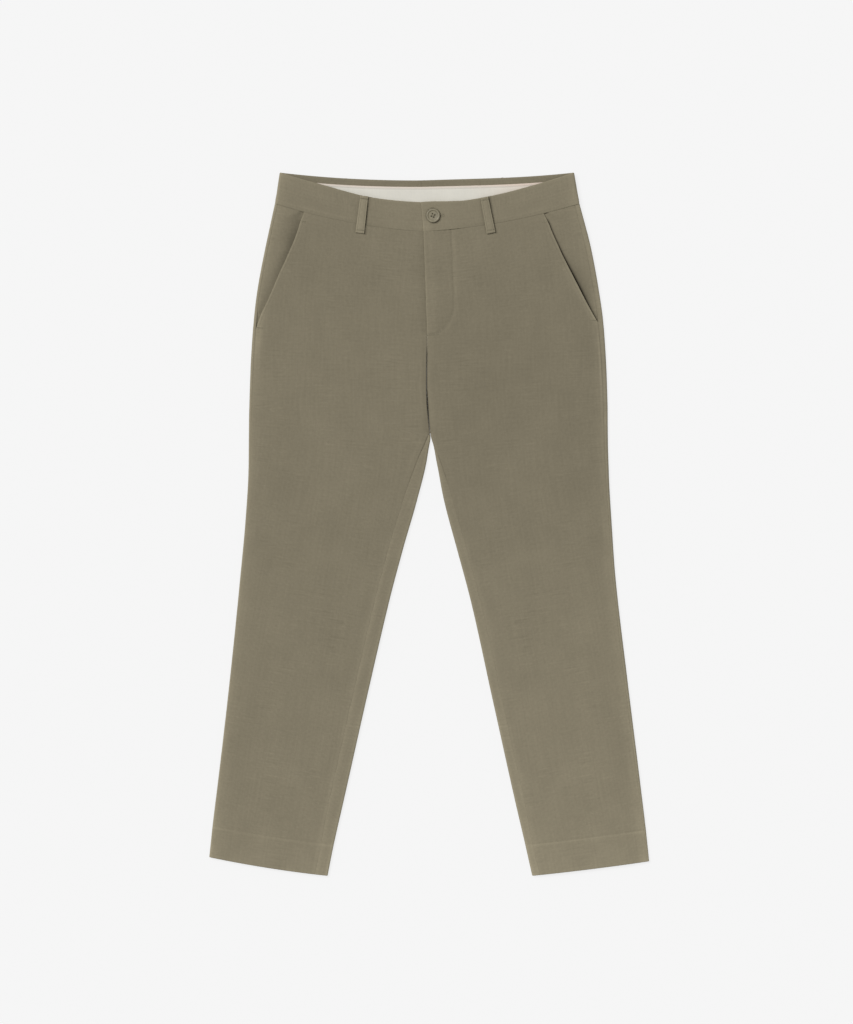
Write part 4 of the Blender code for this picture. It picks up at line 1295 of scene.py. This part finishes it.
def belt_loop(half, from_middle, on_front):
    """A folded strip tacked at both ends: its two faces, cloth coordinates and marks."""
    head, foot = loop_ends(half, from_middle, on_front)
    way, left_way, length = ways(head[:2], foot[:2])
    beds = [(LOOP_TACK, 0.5, 2.0), (length - LOOP_TACK, 0.5, 2.0)]
    along = edged(0, length, LOOP / 2, 44, beds, 1.6)[:, None]
    share = along / length
    width = LOOP_HEAD_WIDTH + (LOOP_FOOT_WIDTH - LOOP_HEAD_WIDTH) * share
    across = np.array([edged(-wide / 2, wide / 2, LOOP / 2, 20, [], 1.0) for wide in width[:, 0]])
    from_side, from_end = width / 2 - np.abs(across), np.minimum(along, length - along)
    fall = (LOOP / 2 - 0.1) * np.maximum(quarter(from_side, LOOP / 2), quarter(from_end, LOOP / 2))
    tack = groove(from_end - LOOP_TACK, 1.1)
    bite = np.where(share < 0.5, 0.3, 0.1)  # the foot's tack is sewn less tight
    swell = 0.3 * np.cos(across / width * math.pi) ** 2 - 0.22 * groove(from_side - LOOP_EDGE_STITCH, 0.7)
    relief = swell * (1 - 2 * bite * tack) - bite * tack - 0.6 * (1 - smooth((length - along) / 7.0))
    relief = relief + 0.6 * bite * groove(from_end - LOOP_TACK / 2, 1.3)
    if on_front:
        base = head[2] + (foot[2] - head[2]) * share + monotone(share, *np.array(LOOP_RISE).T)
        far, near = base + LOOP - fall + relief, base + fall
    else:
        far, near = LOOP - fall, fall + np.maximum(0.25 - relief, 0) * 0.5
    place = head[:2] + way * along[..., None] + left_way * across[..., None]
    far, near = (np.concatenate([place, height[..., None]], axis=-1) for height in (far, near))
    # Painted highlight: paler towards the foot, and on the foot's end wall, which lies in shade.
    painted_highlight = 1 + 0.05 * smooth((share - 0.5) / 0.3) + 0.08 * groove(length - along, 1.0)
    marks = {
        "seam": np.clip(0.45 * groove(from_side - LOOP_EDGE_STITCH, 0.6) + 1.5 * bite * tack, 0, 1),
        "worn": 0.8 * groove(from_side, 1.2),
        "tone": half.loop_tone * painted_highlight + 0 * across,
    }
    uv = np.stack([across, along + 0 * across], axis=-1)
    return ((far, near) if on_front else (near, far)), uv, marks


# Stitches.

STITCH_TURNS = np.linspace(0, math.tau, 7)[:-1]
STITCH_STATIONS = np.array([(-1.0, 0.45), (-0.6, 0.95), (0.6, 0.95), (1.0, 0.45)])  # (along, thickness)
STITCH_WANDER = 0.12  # from its line
PRICKS = (8.6, 7.2)  # a hem's blind stitching: its pitch, and the gap that stays inside the cloth
SATIN_PITCH = 0.42  # of the buttonhole's stitches


def stitches_mesh(name, stitches):
    """One mesh of short threads. Each is (start, end, up, radius, bow), in mm."""
    vertices, faces = [], []
    for start, end, up, radius, bow in stitches:
        start, end, up = (np.asarray(value, float) for value in (start, end, up))
        half_way = (end - start) / 2
        side = np.cross(up, half_way)
        side /= np.linalg.norm(side)
        first = len(vertices)
        for along, share in STITCH_STATIONS:
            centre = (start + end) / 2 + half_way * along + up * (bow * (1 - along**2) - 0.25 * radius)
            ring = [centre + radius * share * (side * math.cos(t) + up * math.sin(t)) for t in STITCH_TURNS]
            vertices.extend(ring)
        turns = len(STITCH_TURNS)
        for station in range(len(STITCH_STATIONS) - 1):
            low = first + station * turns
            for turn in range(turns):
                following = (turn + 1) % turns
                faces.append((low + turn, low + following, low + turns + following, low + turns + turn))
        last = first + (len(STITCH_STATIONS) - 1) * turns
        faces.append(tuple(first + turn for turn in reversed(range(turns))))
        faces.append(tuple(last + turn for turn in range(turns)))
    mesh = bpy.data.meshes.new(name)
    mesh.from_pydata((np.array(vertices) * MM).tolist(), [], faces)
    shape = bmesh.new()
    shape.from_mesh(mesh)
    bmesh.ops.recalc_face_normals(shape, faces=shape.faces)
    shape.to_mesh(mesh)
    shape.free()
    mesh.polygons.foreach_set("use_smooth", [True] * len(mesh.polygons))
    return mesh


class Surface:
    """Finds the cloth under or over a place, among the pieces named."""

    def __init__(self, context, names):
        graph = context.evaluated_depsgraph_get()
        self.trees = [BVHTree.FromObject(bpy.data.objects[name], graph) for name in names]

    def find(self, x, y, from_above=True):
        start = Vector((x * MM, y * MM, 0.1 if from_above else -0.1))
        way = Vector((0, 0, -1 if from_above else 1))
        hits = [tree.ray_cast(start, way) for tree in self.trees]
        hits = [hit for hit in hits if hit[0] is not None]
        if not hits:
            raise ValueError(f"no cloth lies at {x:.1f}, {y:.1f}")
        spot, normal = min(hits, key=lambda hit: hit[3])[:2]
        return np.array(spot) / MM, np.array(normal)


def run_of_stitches(path, surface, pitch, gap, radius, from_above=True, lift=0.0):
    """Stitches along a line of places in XY, laid on the cloth."""
    path = np.asarray(path, float)
    steps = np.linalg.norm(np.diff(path, axis=0), axis=1)
    total = np.concatenate([[0], np.cumsum(steps)])
    chance = np.random.default_rng(7)
    made = []
    for index in range(int(total[-1] // pitch)):
        wander = chance.uniform(-STITCH_WANDER, STITCH_WANDER)
        ends = []
        for at in (index * pitch + gap / 2, (index + 1) * pitch - gap / 2):
            x, y = (float(np.interp(at, total, path[:, axis])) for axis in (0, 1))
            ends.append(surface.find(x + wander, y + wander, from_above))
        up = ends[0][1] + ends[1][1]
        up /= np.linalg.norm(up)
        made.append((ends[0][0] + up * lift, ends[1][0] + up * lift, up, radius, 0.3 * radius))
    return made


def bar_tack(start, end, surface, width, radius, from_above=True):
    """Close stitches side by side across a short bar."""
    start, end = np.asarray(start, float), np.asarray(end, float)
    way, left_way, length = ways(start, end)
    across, count = left_way * width / 2, int(length / (radius * 1.7))
    made = []
    for index in range(count + 1):
        middle = start + (end - start) * index / count
        lean = way * radius * (1 if index % 2 else -1)
        (a, up), (b, _) = (surface.find(*(middle + sign * (across + lean)), from_above) for sign in (-1, 1))
        made.append((a, b, up, radius, 0.25))
    return made


def length_property(name, description, default, **limits):
    """A length in metres, which the panel shows in the scene's units."""
    settings = {"name": name, "description": description, "default": default, **limits}
    return FloatProperty(unit="LENGTH", precision=5, **settings)


class TrousersSizes(PropertyGroup):
    """Sizes of the cloth and its sewing."""

    wale: length_property("Wale", "Width of one rib with its groove", 1.7 * MM, min=0.8 * MM, max=6 * MM)
    stitch: length_property("Stitch", "Length of one topstitch with its gap", 2.7 * MM)
    stitch_gap: length_property("Gap", "Gap between two topstitches", 0.5 * MM)
    thread: length_property("Thread", "Radius of the sewing thread", 0.19 * MM)
    creases: FloatProperty(
        name="Creases", description="How deep the soft creases are, as a factor", default=1, min=0, max=2
    )
    button_rim: length_property("Button rim", "Width of the waist button's raised rim", 1.9 * MM)
    camera_height: length_property("Camera height", "From the floor to the camera", 8.0)


def colour_property(name, description, hex_colour):
    """A colour, given as sRGB hex and kept linear."""
    return FloatVectorProperty(
        name=name, description=description, default=linear(hex_colour), subtype="COLOR", min=0.0, max=1.0
    )


class TrousersColours(PropertyGroup):
    """Colours of the cloth, sewing, button and floor."""

    corduroy: colour_property("Corduroy", "Olive-grey piece dye of the corduroy", "#7c7563")
    lining: colour_property("Lining", "Cream cotton inside the waistband", "#cfccc2")
    thread: colour_property("Thread", "Sewing thread, dyed to match", "#7f7864")
    button: colour_property("Button", "Waist button, dyed to match", "#7b745f")
    floor: colour_property("Floor", "Pale studio floor", "#606060")


def lay_both(context, cut, piece, node, held="laid", turned_side=-1):
    """Cuts one kind of piece for both halves, and lays each on those that lie under it."""
    for half in HALVES:
        cloth, uv = cut(half, context.scene.trousers_sizes.creases)
        materials = corduroy_faces(context)
        if held == "folded":  # cloth folded on itself has its pile outside on both faces
            materials = materials[:1] * 2
        replaced, turned = [f"{node}_{half.name}"], half.side == turned_side
        cut_and_sew(f"{half.name}_{piece}", cloth, uv, materials, replaced, turned)
    return {"FINISHED"}


class TROUSERS_OT_fronts(Operator):
    """Cut and lay the two front panels, with their pocket mouths, fly and hems"""

    bl_idname = "trousers.fronts"
    bl_label = "Front panels"

    def execute(self, context):
        return lay_both(context, front_panel, "front_panel", "front")


class TROUSERS_OT_backs(Operator):
    """Cut and lay the two back panels, which roll round the side folds and the inner folds"""

    bl_idname = "trousers.backs"
    bl_label = "Back panels"

    def execute(self, context):
        return lay_both(context, back_panel, "back_panel", "back")


class TROUSERS_OT_facings(Operator):
    """Set the pocket facings behind the two slant pocket mouths"""

    bl_idname = "trousers.facings"
    bl_label = "Pocket facings"

    def execute(self, context):
        # A facing's columns run from the side seam inwards, so its faces turn the other way.
        return lay_both(context, pocket_facing, "pocket_facing", "pocket_facing", turned_side=1)


class TROUSERS_OT_waistbands(Operator):
    """Fold the two halves of the waistband round to the centre back"""

    bl_idname = "trousers.waistbands"
    bl_label = "Waistband"

    def execute(self, context):
        return lay_both(context, waistband, "waistband", "waistband", "folded")


class TROUSERS_OT_curtain(Operator):
    """Line the back waistband with its cream cotton curtain"""

    bl_idname = "trousers.curtain"
    bl_label = "Waistband lining"

    def execute(self, context):
        outer, inner, uv, marks = curtain()
        mesh = sheet_mesh("waistband_lining", outer, inner, uv, marks, flip=True)
        cotton = [finished(context, "lining")] * 2
        piece = add_piece("waistband_lining", mesh, cotton, ["waistband_curtain"])
        declare(outer, uv)
        return {"FINISHED"}


class TROUSERS_OT_belt_loops(Operator):
    """Tack the two front and three back belt loops over the waistband"""

    bl_idname = "trousers.belt_loops"
    bl_label = "Belt loops"

    def execute(self, context):
        pile = corduroy_faces(context)[:1] * 2
        for place, half, from_middle, on_front in loop_places():
            (outer, inner), uv, marks = belt_loop(half, from_middle, on_front)
            name = f"{place}_belt_loop"
            mesh = sheet_mesh(name, outer, inner, uv, marks, flip=not on_front)
            piece = add_piece(name, mesh, pile, [f"belt_loop_{place}"])
            declare(outer, uv)
        return {"FINISHED"}


def button_seat():
    """Where the button's underside rests, in mm."""
    return band_section(BUTTON_ACROSS_BAND, LEFT).points(BUTTON_FROM_EDGE)[0] + (0, 0, PIECE_GAP)


def select_faces(mesh, chosen):
    """Selects only the faces that the test picks, in edit mode."""
    bpy.ops.mesh.select_mode(type="FACE")
    bpy.ops.mesh.select_all(action="DESELECT")
    shape = bmesh.from_edit_mesh(mesh)
    for face in shape.faces:
        face.select_set(bool(chosen(face)))
    shape.select_flush_mode()
    bmesh.update_edit_mesh(mesh)




def turned_button(place, rim):
    """A disc with a rounded raised rim, a sloping shoulder, a shallow dish and four holes."""
    bpy.ops.object.select_all(action="DESELECT")
    bpy.ops.mesh.primitive_cylinder_add(
        vertices=72, radius=BUTTON_RADIUS * MM, depth=BUTTON_THICK * MM, location=[v * MM for v in place]
    )
    button = bpy.context.object
    button.name = "waist_button_turned"
    bpy.ops.object.mode_set(mode="EDIT")

    def centre_top(face):
        middle = face.calc_center_median()
        return face.normal.z > 0.99 and math.hypot(middle.x, middle.y) < 0.0001

    select_faces(button.data, centre_top)
    bpy.ops.mesh.inset(thickness=rim)
    for wide, deep in ((0.35, BUTTON_STEP), (0.75, BUTTON_DISH - BUTTON_STEP), (1.2, BUTTON_STEP)):
        bpy.ops.mesh.inset(thickness=wide * MM, depth=-deep * MM)
    bpy.ops.mesh.select_all(action="DESELECT")
    bpy.ops.mesh.select_mode(type="EDGE")
    shape = bmesh.from_edit_mesh(button.data)
    for edge in shape.edges:
        spots = [v.co for v in edge.verts]
        rounded = all(abs(math.hypot(v.x, v.y) - BUTTON_RADIUS * MM) < 1e-6 for v in spots)
        level = abs(spots[0].z - spots[1].z) < 1e-7
        edge.select_set(rounded and level)
    bmesh.update_edit_mesh(button.data)
    bpy.ops.mesh.bevel(offset=0.5 * MM, segments=4, profile=0.5, affect="EDGES")
    bpy.ops.object.mode_set(mode="OBJECT")
    for index in range(4):
        angle = math.radians(HOLE_TURN + 90 * index)
        spot = Vector(place) + HOLE_SPREAD * Vector((math.cos(angle), math.sin(angle), 0))
        bpy.ops.mesh.primitive_cylinder_add(
            vertices=24, radius=HOLE_RADIUS * MM, depth=3 * BUTTON_THICK * MM, location=spot * MM
        )
        cutter = bpy.context.object
        hole = button.modifiers.new("Hole", "BOOLEAN")
        hole.object, hole.operation, hole.solver = cutter, "DIFFERENCE", "EXACT"
        bpy.context.view_layer.objects.active = button
        bpy.ops.object.modifier_apply(modifier=hole.name)
        bpy.data.objects.remove(cutter)
    button.data.transform(button.matrix_world)
    button.matrix_world.identity()
    bpy.ops.object.select_all(action="DESELECT")
    button.select_set(True)
    bpy.context.view_layer.objects.active = button
    bpy.ops.object.shade_smooth_by_angle(angle=math.radians(32))
    return button


class TROUSERS_OT_button(Operator):
    """Turn the four-hole waist button and sew it on with crossed thread"""

    bl_idname = "trousers.button"
    bl_label = "Waist button"

    def execute(self, context):
        seat = button_seat()
        place = seat + (0, 0, BUTTON_THICK / 2)
        button = turned_button(place, context.scene.trousers_sizes.button_rim)
        button.data.materials.append(finished(context, "button"))
        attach(button, "root")
        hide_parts("waist_button")
        dish = seat[2] + BUTTON_THICK - BUTTON_DISH - BUTTON_STEP
        strands = []
        for index in range(2):
            angle = math.radians(HOLE_TURN + 90 * index)
            way = np.array([math.cos(angle), math.sin(angle), 0])
            side = np.array([-way[1], way[0], 0])
            for offset in (-0.36, 0.0, 0.36):
                middle = np.array([place[0], place[1], dish + 0.2 + 0.22 * index]) + side * offset
                ends = [middle + way * sign * (HOLE_SPREAD - 0.45) for sign in (-1, 1)]
                strands.append((*ends, (0, 0, 1), STRAND, 0.35))
                for end in ends:
                    foot = np.array([end[0], end[1], seat[2] - PIECE_GAP + 0.1])
                    strands.append((end - (0, 0, 0.05), foot, side, STRAND, 0.0))
        mesh = stitches_mesh("waist_button_thread", strands)
        add_piece("waist_button_thread", mesh, [finished(context, "thread")])
        return {"FINISHED"}


def slit_path(half, inwards, from_share, to_share):
    """Places beside a pocket mouth's edge, between two shares of the way down it."""
    top, end = slit_span(half)
    downs = top + (end - top) * np.linspace(from_share, to_share, 24)
    sections = leg_sections(downs, half)
    arcs = [s.arc_from_fold(slit_distance(s.row, half) + inwards) for s in sections]
    return np.array([s.points(arc)[0][:2] for s, arc in zip(sections, arcs)])


def hem_path(half, from_above):
    """Places along a hem's blind stitching, on the front or on the back."""
    (section,) = leg_sections([DOWN["hem stitching"]], half)
    if from_above:
        arcs = np.linspace(section.inseam() + 6, section.side_seam() - 4, 40)
    else:
        arcs = np.linspace(section.fold + 12, section.length - 8, 40)
    return section.points(arcs)[:, :2]


class TROUSERS_OT_topstitching(Operator):
    """Sew the fly, pocket mouths, hems, tacks and buttonhole with matching thread"""

    bl_idname = "trousers.topstitching"
    bl_label = "Topstitching"

    def execute(self, context):
        sizes = context.scene.trousers_sizes
        pitch, gap, radius = sizes.stitch / MM, sizes.stitch_gap / MM, sizes.thread / MM
        thread = finished(context, "thread")

        def sew(name, stitches):
            add_piece(name, stitches_mesh(name, stitches), [thread])

        fronts = Surface(context, [f"{half.name}_front_panel" for half in HALVES])
        path = fly_path(LEFT)
        foot = path[-1]
        fly = run_of_stitches(path[:-1], fronts, pitch, gap, radius)
        fly += bar_tack(foot + (1.5, 0.4), foot + (17.0, 1.4), fronts, 1.5, radius)
        sew("fly_topstitching", fly)
        for half in HALVES:
            mouth = run_of_stitches(slit_path(half, SLIT_STITCH, 0.06, 0.97), fronts, pitch, gap, radius)
            for share, reach in ((0.075, 6.5), (0.985, 8.0)):
                edge = slit_path(half, 0.8, share, share)[0]
                inner = slit_path(half, 0.8 + reach, share, share)[0]
                mouth += bar_tack(edge, inner, fronts, 1.5, radius)
            sew(f"{half.name}_pocket_topstitching", mouth)
        for half in HALVES:
            backs = Surface(context, [f"{half.name}_back_panel"])
            fine = 0.75 * radius
            pricks = run_of_stitches(hem_path(half, True), fronts, *PRICKS, fine)
            pricks += run_of_stitches(hem_path(half, False), backs, *PRICKS, fine, from_above=False)
            sew(f"{half.name}_hem_blind_stitching", pricks)
        self.loops(context, sew, pitch, gap, radius)
        self.lining(context, pitch, gap, radius)
        self.buttonhole(context, sew)
        return {"FINISHED"}

    def loops(self, context, sew, pitch, gap, radius):
        """Two rows of edge stitching on each belt loop, and a bar at each end."""
        for place, half, from_middle, on_front in loop_places():
            ends = [end[:2] for end in loop_ends(half, from_middle, on_front)]
            way, across, _ = ways(*ends)
            surface = Surface(context, [f"{place}_belt_loop"])
            made = []
            for sign in (-1, 1):
                head = ends[0] + way * 1.6 + across * sign * (LOOP_HEAD_WIDTH / 2 - LOOP_EDGE_STITCH)
                foot = ends[1] - way * 1.6 + across * sign * (LOOP_FOOT_WIDTH / 2 - LOOP_EDGE_STITCH)
                made += run_of_stitches([head, foot], surface, pitch, gap, radius, on_front)
            for end, sign in zip(ends, (1, -1)):
                middle = end + way * sign * LOOP_TACK
                reach = across * (LOOP_HEAD_WIDTH / 2 - 1.0)
                made += bar_tack(middle - reach, middle + reach, surface, 1.3, radius, on_front)
            sew(f"{place}_belt_loop_stitching", made)

    def lining(self, context, pitch, gap, radius):
        """The line that holds the curtain's top edge to the waistband."""
        surface = Surface(context, ["waistband_lining"])
        path = []
        for half in HALVES:
            section = band_section((CURTAIN_BELOW_EDGE + CURTAIN_STITCH) / BAND_HEIGHT, half)
            arcs = np.linspace(section.fold + CURTAIN_FROM_FOLD + 2, section.length, 60)[:: half.side]
            path.append(section.points(arcs, CURTAIN_SINK)[:, :2])
        line = run_of_stitches(np.concatenate(path), surface, pitch, gap, 0.8 * radius, lift=-0.05)
        mesh = stitches_mesh("lining_stitching", line)
        mesh.uv_layers.new(name="Cloth")
        add_piece("lining_stitching", mesh, [finished(context, "lining")])

    def buttonhole(self, context, sew):
        """Close satin stitches on both sides of the slit, and a bar at its far end."""
        surface = Surface(context, ["left_waistband"])
        start, end = band_section(BUTTON_ACROSS_BAND, LEFT).points(BUTTONHOLE)[:, :2]
        way, across, length = ways(start, end)
        made = []
        for index in range(int(length / SATIN_PITCH)):
            middle = start + way * SATIN_PITCH * index
            for sign in (-1, 1):
                near, up = surface.find(*(middle + across * sign * 0.3))
                far, _ = surface.find(*(middle + across * sign * 1.5))
                made.append((near, far, up, 0.2, 0.28))
        made += bar_tack(end - across * 1.6, end + across * 1.6, surface, 1.5, 0.2)
        sew("buttonhole_stitching", made)


class TROUSERS_OT_stage(Operator):
    """Set the pale floor, the soft lights and the camera straight above"""

    bl_idname = "trousers.stage"
    bl_label = "Studio stage"

    # The photograph's frame covers this much of the floor, and its middle is this far off the origin.
    FRAME_HEIGHT = 1.4358
    FRAME_CENTRE = (-0.0038, 0.0163)

    def execute(self, context):
        scene = context.scene
        height = scene.trousers_sizes.camera_height
        bpy.ops.object.select_all(action="DESELECT")
        bpy.ops.mesh.primitive_plane_add(size=30.0, location=(0, 0, -0.0001))
        floor = bpy.context.object
        floor.name = "studio_floor"
        floor.data.transform(floor.matrix_world)
        floor.matrix_world.identity()
        floor.data.materials.append(finished(context, "floor"))
        lens = bpy.data.cameras.new("Camera above")
        lens.sensor_width = 36.0
        lens.lens = 36.0 * height / self.FRAME_HEIGHT
        lens.clip_end = 50.0
        camera = bpy.data.objects.new("Camera above", lens)
        camera.location = (*self.FRAME_CENTRE, height)
        scene.collection.objects.link(camera)
        scene.camera = camera
        self.light(scene)
        return {"FINISHED"}

    def light(self, scene):
        """A bright white room, with a broad soft key from the upper left."""
        room = bpy.data.worlds.new("White room")
        room.use_nodes = True
        room.node_tree.nodes["Background"].inputs["Color"].default_value = (1.0, 1.0, 1.0, 1.0)
        room.node_tree.nodes["Background"].inputs["Strength"].default_value = 0.45
        scene.world = room
        key = bpy.data.lights.new("Soft key", "SUN")
        key.energy, key.angle = 2.5, math.radians(30)
        lamp = bpy.data.objects.new("Soft key", key)
        lamp.rotation_euler = Vector((0.56, -0.46, -1.0)).to_track_quat("-Z", "Y").to_euler()
        scene.collection.objects.link(lamp)
        scene.view_settings.view_transform = "Standard"


OPERATORS = [
    TROUSERS_OT_stage,
    TROUSERS_OT_fronts,
    TROUSERS_OT_backs,
    TROUSERS_OT_facings,
    TROUSERS_OT_waistbands,
    TROUSERS_OT_curtain,
    TROUSERS_OT_belt_loops,
    TROUSERS_OT_button,
    TROUSERS_OT_topstitching,
]


class TROUSERS_PT_panel(Panel):
    """Sizes, colours and pieces of the trousers"""

    bl_idname = "TROUSERS_PT_panel"
    bl_label = "Corduroy Trousers"
    bl_space_type = "VIEW_3D"
    bl_region_type = "UI"
    bl_category = "Trousers"

    def draw(self, context):
        for group in (context.scene.trousers_sizes, context.scene.trousers_colours):
            box = self.layout.box()
            for name in group.bl_rna.properties.keys():
                if name not in ("rna_type", "name"):
                    box.prop(group, name)
        column = self.layout.column(align=True)
        for operator in OPERATORS:
            column.operator(operator.bl_idname)


CLASSES = [TrousersSizes, TrousersColours, *OPERATORS, TROUSERS_PT_panel]


def register():
    for one in CLASSES:
        bpy.utils.register_class(one)
    bpy.types.Scene.trousers_sizes = PointerProperty(type=TrousersSizes)
    bpy.types.Scene.trousers_colours = PointerProperty(type=TrousersColours)


def unregister():
    del bpy.types.Scene.trousers_colours
    del bpy.types.Scene.trousers_sizes
    for one in reversed(CLASSES):
        bpy.utils.unregister_class(one)


def main():
    register()
    for operator in OPERATORS:
        group, name = operator.bl_idname.split(".")
        getattr(getattr(bpy.ops, group), name)()


if __name__ == "__main__":
    main()
